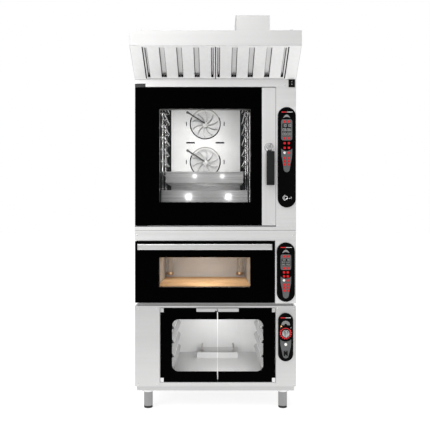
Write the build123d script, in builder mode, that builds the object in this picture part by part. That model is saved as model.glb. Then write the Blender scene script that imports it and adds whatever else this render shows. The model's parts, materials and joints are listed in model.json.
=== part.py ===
"""A stacked baker's oven tower: legs, two-door prover, stone deck oven, combi steamer and extraction hood.

Millimetres. +Z is up, the front faces -Y, and the origin is on the floor under the middle of the tower.
"""

from build123d import *
import math
import os

os.makedirs("parts", exist_ok=True)

# ---------------------------------------------------------------- driving dimensions
width = 920.0  # over the side panels
oven_depth = 780.0  # door faces to back panels
hood_reach = 220.0  # hood front, ahead of the door faces
rear_stub = 30.0  # pipe stubs, behind the back panels
door_depth = 60.0  # door face to body front, on both ovens
sheet = 1.5  # casing and liner sheet
seam = 0.3  # gap between neighbouring sheets
pin_play = 0.05  # radial clearance of pins and shafts
fit_gap = 1.0  # clearance round a piece that drops into an opening
column_x = 345.0  # left edge of the control column

leg_height = 111.0
plinth_height = 26.0
plinth_inset = 10.0
prover_height = 460.0
deck_base = 11.0
deck_height = 420.0
combi_height = 861.0
hood_rise = 131.0  # combi top to the lower edge of the hood's front band
hood_band = 81.0
duct_height = 216.0

# ---------------------------------------------------------------- places worked out from them
half = width / 2
hood_front = -(hood_reach + oven_depth + rear_stub) / 2
face = hood_front + hood_reach  # plane of the door faces
body = face + door_depth  # plane of the oven fronts behind the doors
back = face + oven_depth
prover_z = leg_height + plinth_height
prover_top = prover_z + prover_height
deck_z = prover_top + deck_base
deck_top = deck_z + deck_height
combi_z = deck_top
combi_top = combi_z + combi_height
hood_lip = combi_top + hood_rise
hood_top = hood_lip + hood_band
inside = half - sheet - seam  # half width between the side panels


# ---------------------------------------------------------------- shapes shared by many pieces
def slab(x, y, z, mode=Mode.ADD):
    """Adds a rectangular block that spans the given pairs of values."""
    with Locations(((x[0] + x[1]) / 2, (y[0] + y[1]) / 2, (z[0] + z[1]) / 2)):
        Box(x[1] - x[0], y[1] - y[0], z[1] - z[0], mode=mode)


def rounded_slab(x, y, z, radius, mode=Mode.ADD):
    """Adds a block whose four edges along Y are rounded."""
    with BuildSketch(Plane.XZ.offset(-y[1])) as outline:
        with Locations(((x[0] + x[1]) / 2, (z[0] + z[1]) / 2)):
            RectangleRounded(x[1] - x[0], z[1] - z[0], radius)
    extrude(outline.sketch, amount=y[1] - y[0], mode=mode)


def stadium(x, y, z, mode=Mode.ADD):
    """Adds an upright plate with round ends."""
    rounded_slab(x, y, z, (x[1] - x[0]) / 2 - 0.01, mode)


def rod(start, end, radius, mode=Mode.ADD):
    """Adds a round bar from one point to the other."""
    along = Vector(*end) - Vector(*start)
    with BuildSketch(Plane(origin=start, z_dir=along)) as section:
        Circle(radius)
    extrude(section.sketch, amount=along.length, mode=mode)


def wire(points, radius, bend):
    """Adds a round wire along straight runs with rounded corners."""
    with BuildLine() as route:
        FilletPolyline(*points, radius=bend)
    with BuildSketch(Plane(origin=route.line @ 0, z_dir=route.line % 0)) as section:
        Circle(radius)
    sweep(section.sketch, path=route.line)


def folded_cover(x, y, z):
    """Adds a shallow sheet tray that is open at the back: a front with four returns."""
    slab(x, y, z)
    slab((x[0] + sheet, x[1] - sheet), (y[0] + sheet, y[1] + 1), (z[0] + sheet, z[1] - sheet), Mode.SUBTRACT)


def casing_panels(front, low, high):
    """Adds two sides, a top, a bottom and a back, each a separate sheet."""
    for side in (-1, 1):
        edges = sorted((side * half, side * (half - sheet)))
        slab(edges, (front, back), (low, high))
    across = (-inside, inside)
    slab(across, (back - sheet, back), (low, high))
    for level in (low, high - sheet):
        slab(across, (front + sheet + seam, back - sheet - seam), (level, level + sheet))


def vent_slots(centre_x, centre_z, rows, columns=2):
    """Cuts a block of cooling slots through the back panel."""
    with BuildSketch(Plane.XZ.offset(-back - 1)) as slots:
        with Locations((centre_x, centre_z)):
            with GridLocations(80, 16, columns, rows):
                SlotOverall(64, 6)
    extrude(slots.sketch, amount=-(sheet + 2), both=True, mode=Mode.SUBTRACT)


def liner(x, y, z, radius):
    """Adds a chamber lining with rounded corners, closed at the back and open at the front."""
    outer_x, outer_z = (x[0] - sheet, x[1] + sheet), (z[0] - sheet, z[1] + sheet)
    rounded_slab(outer_x, (y[0], y[1] + sheet), outer_z, radius + sheet)
    rounded_slab(x, (y[0] - 1, y[1]), z, radius, Mode.SUBTRACT)


def ring_frame(x, y, z, border, radius):
    """Adds a flat rectangular frame: the border lies outside the given opening."""
    rounded_slab((x[0] - border, x[1] + border), y, (z[0] - border, z[1] + border), radius + border)
    rounded_slab(x, (y[0] - 1, y[1] + 1), z, radius, Mode.SUBTRACT)


def blanket(x, y, z, thickness, below):
    """Adds four slabs of mineral wool round a chamber, the lowest with a thickness of its own."""
    near = sheet + seam
    left, right = x[0] - near, x[1] + near
    low, high = z[0] - near, z[1] + near
    slab((left - thickness, left), y, (low, high))
    slab((right, right + thickness), y, (low, high))
    slab((left - thickness, right + thickness), y, (high + seam, high + seam + thickness))
    slab((left - thickness, right + thickness), y, (low - seam - below, low - seam))


def finish(piece, name):
    """Labels a finished piece and writes it."""
    piece.part.label = name
    export_step(piece.part, f"parts/{name}.step")


# ---------------------------------------------------------------- legs and levelling feet
leg_radius = 26.0
leg_wall = 2.0
leg_x = 390.0
leg_front_y = face + 60.0
leg_back_y = back - 60.0
flange = 72.0
flange_thickness = 3.0
foot_height = 12.0
foot_gap = 2.0
stem_radius = 6.0
stem_top = 72.0
plug_height = 26.0
leg_places = [(sx * leg_x, y) for sx in (-1, 1) for y in (leg_front_y, leg_back_y)]
leg_bottom = foot_height + foot_gap

with BuildPart() as legs:
    for x, y in leg_places:
        rod((x, y, leg_bottom), (x, y, leg_height), leg_radius)
        inner_low = leg_bottom + plug_height
        rod((x, y, inner_low), (x, y, leg_height - flange_thickness), leg_radius - leg_wall, Mode.SUBTRACT)
        rod((x, y, leg_bottom), (x, y, inner_low), stem_radius + pin_play, Mode.SUBTRACT)
        slab(
            (x - flange / 2, x + flange / 2),
            (y - flange / 2, y + flange / 2),
            (leg_height - flange_thickness, leg_height),
        )
finish(legs, "legs")

with BuildPart() as levelling_feet:
    for x, y in leg_places:
        rod((x, y, 0), (x, y, foot_height), leg_radius - 1)
        rod((x, y, foot_height), (x, y, stem_top), stem_radius)
finish(levelling_feet, "levelling_feet")

# ---------------------------------------------------------------- prover
prover_recess = 15.0  # door faces to the prover's frame
prover_front = face + prover_recess
prover_panel_x = -318.0  # right edge of the blank panel left of the doors
prover_x = (-262.0, 288.0)
prover_chamber_z = (prover_z + 35, prover_top - 37)
prover_chamber_back = back - 85
prover_radius = 20.0
prover_door_z = (prover_z + 25.5, prover_top - 12)
prover_strip_low = (prover_z, prover_z + 23)
prover_strip_high = (prover_top - 10, prover_top)
pane = 6.0
door_gap = 5.0
meeting_x = 11.7  # middle of the gap between the two doors
patch = (19.0, 10.0, 24.0)  # corner fitting: width, depth, height
prover_hinge_y = face + 3
prover_pin = 3.0
left_door_x = (prover_panel_x + 3.3, meeting_x - door_gap / 2)
right_door_x = (meeting_x + door_gap / 2, column_x - 3.5)

with BuildPart() as prover_casing:
    casing_panels(prover_front, prover_z, prover_top)
    vent_slots(300, prover_z + 120, 6)
    plinth_x = (-half + plinth_inset, half - plinth_inset)
    plinth_y = (face + plinth_inset, back - plinth_inset)
    slab(plinth_x, plinth_y, (leg_height, prover_z - seam))
    slab(
        (plinth_x[0] + sheet, plinth_x[1] - sheet),
        (plinth_y[0] + sheet, plinth_y[1] - sheet),
        (leg_height + sheet, prover_z),
        Mode.SUBTRACT,
    )
finish(prover_casing, "prover_casing")

with BuildPart() as prover_front_frame:
    frame_z = (prover_z + sheet + seam, prover_top - sheet - seam)
    slab((-inside, inside), (prover_front, prover_front + sheet), frame_z)
    through_y = (prover_front - 1, prover_front + sheet + 1)
    rounded_slab(prover_x, through_y, prover_chamber_z, prover_radius, Mode.SUBTRACT)
    cover_y = (face, prover_front - seam)
    folded_cover((-half, prover_panel_x), cover_y, (prover_z, prover_top))
    folded_cover((column_x, half), cover_y, (prover_z, prover_top))
    folded_cover((prover_panel_x + seam, column_x - seam), cover_y, prover_strip_low)
    folded_cover((prover_panel_x + seam, column_x - seam), cover_y, prover_strip_high)
finish(prover_front_frame, "prover_front_frame")

with BuildPart() as prover_cavity:
    liner(prover_x, (prover_front + sheet + seam, prover_chamber_back), prover_chamber_z, prover_radius)
finish(prover_cavity, "prover_cavity")

guide_depth = 24.0
guide_height = 34.0
guide_levels = [prover_z + 70 + 82 * i for i in range(4)]
guide_y = (prover_front + 20, prover_chamber_back - 20)
with BuildPart() as prover_tray_guides:
    for wall, inward in ((prover_x[0], 1), (prover_x[1], -1)):
        for level in guide_levels:
            root = wall + inward * seam
            tip = wall + inward * guide_depth
            with BuildSketch(Plane.XZ.offset(-guide_y[1])) as profile:
                with BuildLine():
                    Line((root, level), (root, level + guide_height))
                    ThreePointArc(
                        (root, level + guide_height),
                        (wall + inward * guide_depth * 0.55, level + guide_height * 0.72),
                        (tip, level + guide_height * 0.3),
                    )
                    Line((tip, level + guide_height * 0.3), (tip, level + guide_height * 0.2))
                    Line((tip, level + guide_height * 0.2), (root, level))
                make_face()
            extrude(profile.sketch, amount=guide_y[1] - guide_y[0])
finish(prover_tray_guides, "prover_tray_guides")

water_tray_x = (-120.0, 150.0)
water_tray_y = (prover_chamber_back - 190, prover_chamber_back - 30)
water_tray_z = (prover_chamber_z[0] + seam, prover_chamber_z[0] + 40)
with BuildPart() as prover_water_tray:
    slab(water_tray_x, water_tray_y, water_tray_z)
    slab(
        (water_tray_x[0] + sheet, water_tray_x[1] - sheet),
        (water_tray_y[0] + sheet, water_tray_y[1] - sheet),
        (water_tray_z[0] + sheet, water_tray_z[1] + 1),
        Mode.SUBTRACT,
    )
finish(prover_water_tray, "prover_water_tray")


def prover_door(name, door_x, outer_left):
    """Writes one glass leaf and its steel fittings: two pivoted corner patches and a finger pull."""
    pane_y = (face, face + pane)
    corner_x = (door_x[0], door_x[0] + patch[0]) if outer_left else (door_x[1] - patch[0], door_x[1])
    corners_z = (
        (prover_door_z[0], prover_door_z[0] + patch[2]),
        (prover_door_z[1] - patch[2], prover_door_z[1]),
    )
    with BuildPart() as glass:
        slab(door_x, pane_y, prover_door_z)
        for corner_z in corners_z:
            slab(
                (corner_x[0] - seam, corner_x[1] + seam),
                (pane_y[0] - 1, pane_y[1] + 1),
                (corner_z[0] - seam, corner_z[1] + seam),
                Mode.SUBTRACT,
            )
    finish(glass, f"prover_{name}_door_glass")

    hinge_x = sum(corner_x) / 2
    pull_x = (door_x[1] - 118, door_x[1]) if outer_left else (door_x[0], door_x[0] + 118)
    pull_low, pull_high = prover_door_z[1] - 21.5, prover_door_z[1]
    plate_y = (face - seam - 2, face - seam)
    lip_y = (face - 20, plate_y[1])
    with BuildPart() as fittings:
        for corner_z in corners_z:
            slab(corner_x, (prover_hinge_y - patch[1] / 2, prover_hinge_y + patch[1] / 2), corner_z)
        for low, high in (
            (prover_door_z[0] - 1, prover_door_z[0] + 14),
            (prover_door_z[1] - 14, prover_door_z[1] + 1),
        ):
            bore = (hinge_x, prover_hinge_y, low), (hinge_x, prover_hinge_y, high)
            rod(*bore, prover_pin + pin_play, Mode.SUBTRACT)
        slab(pull_x, plate_y, (pull_low, pull_high))
        slab(pull_x, lip_y, (pull_high - 2, pull_high))
        slab(pull_x, (lip_y[0], lip_y[0] + 2), (pull_high - 9, pull_high))
    finish(fittings, f"prover_{name}_door_fittings")
    return hinge_x


left_hinge_x = prover_door("left", left_door_x, True)
right_hinge_x = prover_door("right", right_door_x, False)

# ---------------------------------------------------------------- deck oven
deck_x = (-347.0, 211.0)
deck_chamber_z = (deck_z + 38, deck_top - 144)
deck_chamber_back = back - 70
deck_radius = 12.0
deck_door_x = (-half, 337.5)
deck_door_z = (deck_z + 7, deck_top - 62.5)
deck_window_x = (-322.0, 199.3)
deck_window_z = (deck_z + 94, deck_top - 154)
deck_fascia_low = deck_top - 58
deck_pane = 5.0
seal_gap = 6.0  # door back to body front, filled by the gasket
door_back = body - seal_gap
deck_hinge_y = face + 17
deck_hinge_z = deck_door_z[0] + 7
deck_hinges_x = (-386.0, 265.0)
deck_pin = 4.0
stone_thickness = 20.0
stone_top = deck_z + 80
inner_pane = 4.0
rebate = 12.0

with BuildPart() as deck_casing:
    casing_panels(body, deck_z, deck_top)
    vent_slots(320, deck_z + 240, 8)
    slab((-inside, inside), (body - 21, body + sheet), (deck_z, deck_z + sheet))
    base_x = (-half + 20, half - 20)
    slab(base_x, (face + 30, back - 20), (prover_top, deck_z))
    slab(
        (base_x[0] + 30, base_x[1] - 30),
        (face + 60, back - 50),
        (prover_top - 1, deck_z),
        Mode.SUBTRACT,
    )
finish(deck_casing, "deck_casing")

with BuildPart() as deck_front_frame:
    frame_z = (deck_z + sheet + seam, deck_top - sheet - seam)
    slab((-inside, inside), (body, body + sheet), frame_z)
    rounded_slab(deck_x, (body - 1, body + sheet + 1), deck_chamber_z, deck_radius, Mode.SUBTRACT)
    folded_cover((-half, half), (face, body - seam), (deck_fascia_low, deck_top))
    column_z = (deck_z + 2 * sheet, deck_fascia_low - seam)
    folded_cover((deck_door_x[1] + 3.5, half), (face, body - seam), column_z)
finish(deck_front_frame, "deck_front_frame")

ledge = 14.0
with BuildPart() as deck_cavity:
    liner(deck_x, (body + sheet + seam, deck_chamber_back), deck_chamber_z, deck_radius)
    stone_bottom = stone_top - stone_thickness
    for ledge_x in ((deck_x[0], deck_x[0] + ledge), (deck_x[1] - ledge, deck_x[1])):
        slab(ledge_x, (body + 8, deck_chamber_back), (stone_bottom - seam - sheet, stone_bottom - seam))
finish(deck_cavity, "deck_cavity")

with BuildPart() as deck_stone:
    slab((deck_x[0] + 2, deck_x[1] - 2), (body + 8, deck_chamber_back - 3), (stone_bottom, stone_top))
finish(deck_stone, "deck_stone")


def door_core(x, z, window_x, window_z, front):
    """Adds a door's pressed inner frame: a window opening with a rebate for the inner pane at the back."""
    slab(x, (front, door_back), z)
    rounded_slab(window_x, (front - 1, door_back + 1), window_z, 6, Mode.SUBTRACT)
    rounded_slab(
        (window_x[0] - rebate, window_x[1] + rebate),
        (door_back - inner_pane - 1, door_back + 1),
        (window_z[0] - rebate, window_z[1] + rebate),
        8,
        Mode.SUBTRACT,
    )


def inner_glass(window_x, window_z):
    """Adds the inner pane in its rebate."""
    reach = rebate - fit_gap / 2
    rounded_slab(
        (window_x[0] - reach, window_x[1] + reach),
        (door_back - inner_pane - 1, door_back - 1),
        (window_z[0] - reach, window_z[1] + reach),
        7,
    )


eye_radius = 9.0
eye_width = 20.0
with BuildPart() as deck_door_core:
    door_core(deck_door_x, deck_door_z, deck_window_x, deck_window_z, face + deck_pane + seam)
    for x in deck_hinges_x:
        slab(
            (x - eye_width / 2 - 1, x + eye_width / 2 + 1),
            (face, door_back + 1),
            (deck_door_z[0] - 1, deck_hinge_z + eye_radius + 3),
            Mode.SUBTRACT,
        )
        bore = (x - 30, deck_hinge_y, deck_hinge_z), (x + 30, deck_hinge_y, deck_hinge_z)
        rod(*bore, deck_pin + pin_play, Mode.SUBTRACT)
finish(deck_door_core, "deck_door_core")

with BuildPart() as deck_door_glass:
    slab(deck_door_x, (face, face + deck_pane), deck_door_z)
    inner_glass(deck_window_x, deck_window_z)
finish(deck_door_glass, "deck_door_glass")

deck_bar_x = (-440.0, 319.0)
deck_bar_z = (deck_top - 109.6, deck_top - 76.5)
deck_bar_y = (face - 45, face - 31)
with BuildPart() as deck_door_handle:
    slab(deck_bar_x, deck_bar_y, deck_bar_z)
    fillet(deck_door_handle.edges().filter_by(Axis.X), 5)
    bar_mid = sum(deck_bar_z) / 2
    for x in (deck_bar_x[0] + 45, deck_bar_x[1] - 45):
        rod((x, deck_bar_y[1] - 1, bar_mid), (x, face - seam, bar_mid), 9)
finish(deck_door_handle, "deck_door_handle")

# ---------------------------------------------------------------- combi steamer
combi_x = (-345.0, 215.0)
combi_chamber_z = (combi_z + 137, combi_top - 57)
combi_chamber_back = back - 115
combi_radius = 20.0
baffle_y = combi_chamber_back - 100
combi_door_x = (-half, 343.0)
combi_door_z = (combi_z + 28.5, combi_top - 45)
combi_glass_x = (-half, 264.5)
combi_window_x = (-321.5, 201.6)
combi_window_z = (combi_z + 161, combi_top - 166)
combi_strip = (combi_z, combi_z + 21)
combi_fascia = (combi_top - 41, combi_top)
combi_pane = 6.0
combi_hinge = (-half + 15, face + 15)
combi_pin = 5.0
hinge_block_x = (-half, -half + 60)
hinge_block_z = (combi_door_z[1] + 2, combi_door_z[1] + 22)
handle_x = 305.0
handle_z = combi_z + 472
spindle = 6.0
keeper_bore = 24.0
fan_x = -68.0
fan_levels = (combi_top - 419, combi_top - 165)
fan_names = ("combi_fan_lower", "combi_fan_upper")
fan_radius = 96.0
shaft = 8.0

with BuildPart() as combi_casing:
    casing_panels(body, combi_z, combi_top)
    vent_slots(fan_x, fan_levels[0], 8)
    vent_slots(fan_x, fan_levels[1], 8)
finish(combi_casing, "combi_casing")

switch_x = (417.0, 453.0)
switch_z = (combi_top - 43, combi_top)
switch_body = 2.0  # how much smaller the switch body is than its bezel, all round
with BuildPart() as combi_front_frame:
    frame_z = (combi_z + sheet + seam, combi_top - sheet - seam)
    slab((-inside, inside), (body, body + sheet), frame_z)
    rounded_slab(combi_x, (body - 1, body + sheet + 1), combi_chamber_z, combi_radius, Mode.SUBTRACT)
    rod((handle_x, body - 1, handle_z), (handle_x, body + sheet + 1, handle_z), keeper_bore, Mode.SUBTRACT)
    folded_cover((-half, half), (face, body - seam), combi_strip)
    folded_cover((column_x, half), (face, body - seam), (combi_strip[1] + seam, combi_fascia[0] - seam))
    folded_cover((-half, half), (face, body - seam), combi_fascia)
    slab(
        (-half - 1, hinge_block_x[1] + seam),
        (face - 1, body - seam + 0.1),
        (combi_fascia[0] - 1, hinge_block_z[1] + seam),
        Mode.SUBTRACT,
    )
    slab(
        (hinge_block_x[0], hinge_block_x[1] + seam),
        (face, body - seam),
        (hinge_block_z[1] + seam, hinge_block_z[1] + seam + sheet),
    )
    slab(
        (switch_x[0] + switch_body - seam, switch_x[1] - switch_body + seam),
        (face - 1, face + sheet + 1),
        (switch_z[0] + 2 * switch_body - seam, switch_z[1] - 2 * switch_body + seam),
        Mode.SUBTRACT,
    )
finish(combi_front_frame, "combi_front_frame")

with BuildPart() as combi_cavity:
    liner(combi_x, (body + sheet + seam, combi_chamber_back), combi_chamber_z, combi_radius)
    for z in fan_levels:
        rod((fan_x, combi_chamber_back - 1, z), (fan_x, combi_chamber_back + 3, z), shaft + 4, Mode.SUBTRACT)
finish(combi_cavity, "combi_cavity")

intake_radius = 102.0
with BuildPart() as combi_fan_baffle:
    side_gap = 24.0  # air leaves the fan chamber past both upright edges
    rounded_slab(
        (combi_x[0] + side_gap, combi_x[1] - side_gap),
        (baffle_y, baffle_y + sheet),
        (combi_chamber_z[0] + seam, combi_chamber_z[1] - seam),
        4,
    )
    for z in fan_levels:
        rod((fan_x, baffle_y - 1, z), (fan_x, baffle_y + 3, z), intake_radius, Mode.SUBTRACT)
        for side in (-1, 1):
            slot_x = fan_x + side * 126
            stadium((slot_x - 3, slot_x + 3), (baffle_y - 1, baffle_y + 3), (z - 14, z + 14), Mode.SUBTRACT)
    slot_z = sum(fan_levels) / 2
    for side in (-1, 1):
        slot_x = fan_x + side * 98
        slab(
            (slot_x - 29, slot_x + 29), (baffle_y - 1, baffle_y + 3), (slot_z - 4, slot_z + 4), Mode.SUBTRACT
        )
    for side in (-1, 1):  # standoffs to the back wall
        for z in (fan_levels[0] - 90, slot_z, fan_levels[1] + 90):
            stay_x = fan_x + side * 215
            rod((stay_x, baffle_y + sheet / 2, z), (stay_x, combi_chamber_back - seam, z), 5)
finish(combi_fan_baffle, "combi_fan_baffle")

hub_y = (combi_chamber_back - 82, combi_chamber_back - 22)
blade_y = (combi_chamber_back - 70, combi_chamber_back - 26)
blade_count = 10
for name, z in zip(fan_names, fan_levels):
    with BuildPart() as fan:
        rod((fan_x, hub_y[0], z), (fan_x, hub_y[1], z), 18)
        rod((fan_x, blade_y[1], z), (fan_x, blade_y[1] + 2, z), fan_radius)
        with Locations(Location((fan_x, 0, z))):
            with Locations(*[Rotation(0, 360 / blade_count * i, 0) for i in range(blade_count)]):
                with Locations(Location((55, sum(blade_y) / 2, 0), (0, 22, 0))):
                    Box(80, blade_y[1] - blade_y[0], 2)
        rod((fan_x, hub_y[1] - 1, z), (fan_x, combi_chamber_back + 60, z), shaft)
    finish(fan, name)

motor_y = (combi_chamber_back + sheet + seam, back - sheet - 12)
with BuildPart() as combi_fan_motors:
    for z in fan_levels:
        slab((fan_x - 75, fan_x + 75), (motor_y[0], motor_y[0] + 4), (z - 75, z + 75))
        rod((fan_x, motor_y[0] + 3, z), (fan_x, motor_y[1], z), 58)
        rod((fan_x, motor_y[0] - 1, z), (fan_x, motor_y[0] + 62, z), shaft + pin_play, Mode.SUBTRACT)
finish(combi_fan_motors, "combi_fan_motors")

pipe_radius = 5.0
pipe_y = baffle_y - 12
with BuildPart() as combi_steam_pipes:
    for z in fan_levels:
        start = (fan_x - 118, baffle_y - seam, z + 76)
        rod(start, (start[0], baffle_y - 3, start[2]), pipe_radius + 4)
        wire([start, (start[0], pipe_y, start[2]), (fan_x - 4, pipe_y, z + 3)], pipe_radius, 7)
finish(combi_steam_pipes, "combi_steam_pipes")

rack_post = 4.0
rack_wire = 3.0
runner_levels = [combi_chamber_z[0] + 201 + 70 * i for i in range(7)]
rack_y = (body + 30, baffle_y - 12)
with BuildPart() as combi_tray_racks:
    for wall, inward in ((combi_x[0], 1), (combi_x[1], -1)):
        post_x = wall + inward * 14
        runner_x = post_x + inward * 26
        for y in (rack_y[0], sum(rack_y) / 2, rack_y[1]):
            rod((post_x, y, combi_chamber_z[0] + 5), (post_x, y, combi_chamber_z[1] - 25), rack_post)
            for z in (combi_chamber_z[0] + 60, combi_chamber_z[1] - 60):
                rod((wall + inward * seam, y, z), (post_x, y, z), rack_post)
        near = post_x + inward * (rack_post + rack_wire + seam)
        for z in runner_levels:
            front_y, rear_y = rack_y[0] - 6, rack_y[1] + 6
            loop = [(near, front_y, z), (runner_x, front_y, z), (runner_x, rear_y, z), (near, rear_y, z)]
            wire(loop, rack_wire, 8)
            rod((near, front_y, z), (near, rear_y, z), rack_wire)
finish(combi_tray_racks, "combi_tray_racks")


def pan(x, y, z, rim):
    """Adds an open pan with a flat rim."""
    slab(x, y, z)
    slab((x[0] - rim, x[1] + rim), (y[0] - rim / 2, y[1] + rim / 2), (z[1] - sheet, z[1]))
    slab(
        (x[0] + sheet, x[1] - sheet), (y[0] + sheet, y[1] - sheet), (z[0] + sheet, z[1] + 1), Mode.SUBTRACT
    )


with BuildPart() as combi_pans:
    pan_x = (combi_x[0] + 52, combi_x[1] - 52)
    pan_y = (body + 45, baffle_y - 35)
    drip_z = (combi_chamber_z[0] + seam, combi_chamber_z[0] + 97)
    pan((combi_x[0] + 26, combi_x[1] - 26), pan_y, drip_z, 5)
    rim_top = runner_levels[0] + rack_wire + seam + sheet
    pan(pan_x, pan_y, (rim_top - 65, rim_top), 14)
finish(combi_pans, "combi_pans")

with BuildPart() as combi_door_core:
    core_x = (combi_door_x[0], combi_door_x[1] - sheet - seam)
    door_core(core_x, combi_door_z, combi_window_x, combi_window_z, face + combi_pane + seam)
    hinge_x, hinge_y = combi_hinge
    for end, inward in ((combi_door_z[0], 1), (combi_door_z[1], -1)):
        bore = (hinge_x, hinge_y, end - inward), (hinge_x, hinge_y, end + inward * 24)
        rod(*bore, combi_pin + pin_play, Mode.SUBTRACT)
    rod((handle_x, face, handle_z), (handle_x, door_back + 1, handle_z), spindle + pin_play, Mode.SUBTRACT)
finish(combi_door_core, "combi_door_core")

with BuildPart() as combi_door_glass:
    slab(combi_glass_x, (face, face + combi_pane), combi_door_z)
    inner_glass(combi_window_x, combi_window_z)
finish(combi_door_glass, "combi_door_glass")

with BuildPart() as combi_door_stile:
    stile_x = (combi_glass_x[1] + 1, combi_door_x[1])
    slab(stile_x, (face, door_back), combi_door_z)
    slab((stile_x[0] - 1, stile_x[1] - sheet), (face + sheet, door_back + 1), (0, combi_top), Mode.SUBTRACT)
    slab((stile_x[0], stile_x[0] + sheet), (face + sheet / 2, face + combi_pane), combi_door_z)
    rod((handle_x, face - 1, handle_z), (handle_x, face + 3, handle_z), spindle + pin_play, Mode.SUBTRACT)
finish(combi_door_stile, "combi_door_stile")

boss_radius = 23.0
grip_y = (face - 57, face - 35)
grip_x = (handle_x - 18, handle_x + 28)
grip_z = (handle_z - 216, handle_z - 14)
with BuildPart() as combi_handle_boss:
    rod((handle_x, face - 43, handle_z), (handle_x, face - seam, handle_z), boss_radius)
    chamfer(combi_handle_boss.edges().filter_by(GeomType.CIRCLE).group_by(Axis.Y)[0], 4)
    slab((handle_x - 12, handle_x + 12), (grip_y[1] + seam, face - 23), (handle_z - 80, handle_z))
    rod((handle_x, face - 1, handle_z), (handle_x, body + 22, handle_z), spindle)
    slab((handle_x - 5, handle_x + 5), (body + 6, body + 16), (handle_z - 18, handle_z + 18))
finish(combi_handle_boss, "combi_handle_boss")

with BuildPart() as combi_handle_grip:
    slab(grip_x, grip_y, grip_z)
    fillet(combi_handle_grip.edges().filter_by(Axis.Z), 8)
    fillet(combi_handle_grip.edges().group_by(Axis.Z)[0], 3)
    around_boss = (handle_x, grip_y[0] - 1, handle_z), (handle_x, grip_y[1] + 1, handle_z)
    rod(*around_boss, boss_radius + seam, Mode.SUBTRACT)
finish(combi_handle_grip, "combi_handle_grip")

# ---------------------------------------------------------------- hinge brackets, pins and keeper
with BuildPart() as door_hinge_brackets:
    # combi steamer: a ring behind the frame that the latch turns in
    rod((handle_x, body + sheet + seam, handle_z), (handle_x, body + 14, handle_z), keeper_bore + 12)
    rod((handle_x, body, handle_z), (handle_x, body + 15, handle_z), keeper_bore, Mode.SUBTRACT)
    # combi steamer: a block above and below the door's corner, each with an upright pin
    hinge_x, hinge_y = combi_hinge
    block_y = (face, body - seam)
    slab(hinge_block_x, block_y, hinge_block_z)
    rod((hinge_x, hinge_y, hinge_block_z[0] - 22), (hinge_x, hinge_y, hinge_block_z[0] + 1), combi_pin)
    low_block = (combi_strip[1] + seam, combi_door_z[0] - 1)
    slab(hinge_block_x, block_y, low_block)
    rod((hinge_x, hinge_y, low_block[1] - 1), (hinge_x, hinge_y, low_block[1] + 22), combi_pin)
    # deck oven: two eyes that reach forward under the drop-down door, each round a level pin
    for x in deck_hinges_x:
        eye_x = (x - eye_width / 2, x + eye_width / 2)
        rod((eye_x[0], deck_hinge_y, deck_hinge_z), (eye_x[1], deck_hinge_y, deck_hinge_z), eye_radius)
        slab(eye_x, (deck_hinge_y, body - seam), (deck_hinge_z - 7, deck_hinge_z + 5))
        rod((x - 28, deck_hinge_y, deck_hinge_z), (x + 28, deck_hinge_y, deck_hinge_z), deck_pin)
    # prover: a pin above and below each leaf's outer corner
    for x in (left_hinge_x, right_hinge_x):
        low, high = prover_strip_low[1], prover_strip_high[0]
        rod((x, prover_hinge_y, low), (x, prover_hinge_y, low + 13), prover_pin)
        rod((x, prover_hinge_y, high - 13), (x, prover_hinge_y, high), prover_pin)
finish(door_hinge_brackets, "door_hinge_brackets")

# ---------------------------------------------------------------- gaskets, insulation, heaters, lamps
with BuildPart() as door_gaskets:
    gasket_y = (door_back + seam, body - seam)
    ring_frame(combi_x, gasket_y, combi_chamber_z, 12, combi_radius)
    ring_frame(deck_x, gasket_y, deck_chamber_z, 12, deck_radius)
    prover_gasket_y = (face + pane + seam, prover_front - seam)
    ring_frame(prover_x, prover_gasket_y, prover_chamber_z, 9, prover_radius)
finish(door_gaskets, "door_gaskets")

with BuildPart() as insulation:
    start = body + sheet + 2 * seam
    blanket(combi_x, (start, combi_chamber_back), combi_chamber_z, 45, 45)
    floor_wool = deck_chamber_z[0] - deck_z - 2 * sheet - 1
    blanket(deck_x, (start, deck_chamber_back), deck_chamber_z, 45, floor_wool)
    side_start = prover_front + sheet + 2 * seam
    near = sheet + seam
    for edge in (prover_x[0] - near - 20, prover_x[1] + near):
        slab((edge, edge + 20), (side_start, prover_chamber_back), prover_chamber_z)
finish(insulation, "insulation")

coil_radius = fan_radius + 5.5
coil_wire = 4.25
coil_y = [combi_chamber_back - 70 + 18 * i for i in range(3)]
deck_rod_y = [body + 70 + 90 * i for i in range(6)]
low_rod_z = stone_bottom - sheet - seam - coil_wire - 0.5
with BuildPart() as heating_elements:
    for z in fan_levels:
        for y in coil_y:
            with Locations(Location((fan_x, y, z), (90, 0, 0))):
                Torus(coil_radius, coil_wire)
        for angle in (30, 150, 270):
            x = fan_x + coil_radius * math.cos(math.radians(angle))
            clip_z = z + coil_radius * math.sin(math.radians(angle))
            rod((x, coil_y[0] - 3, clip_z), (x, combi_chamber_back - seam, clip_z), 5)
    for y in deck_rod_y:
        for z in (low_rod_z, deck_chamber_z[1] - deck_radius - coil_wire):
            rod((deck_x[0] + seam, y, z), (deck_x[1] - seam, y, z), coil_wire)
    tray_mid = sum(water_tray_y) / 2
    heater_z = water_tray_z[0] + 16
    wire(
        [
            (water_tray_x[0] + 30, prover_chamber_back - seam, heater_z + 40),
            (water_tray_x[0] + 30, tray_mid, heater_z + 40),
            (water_tray_x[0] + 30, tray_mid, heater_z),
            (water_tray_x[1] - 30, tray_mid, heater_z),
            (water_tray_x[1] - 30, tray_mid, heater_z + 40),
            (water_tray_x[1] - 30, prover_chamber_back - seam, heater_z + 40),
        ],
        5,
        12,
    )
finish(heating_elements, "heating_elements")

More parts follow.
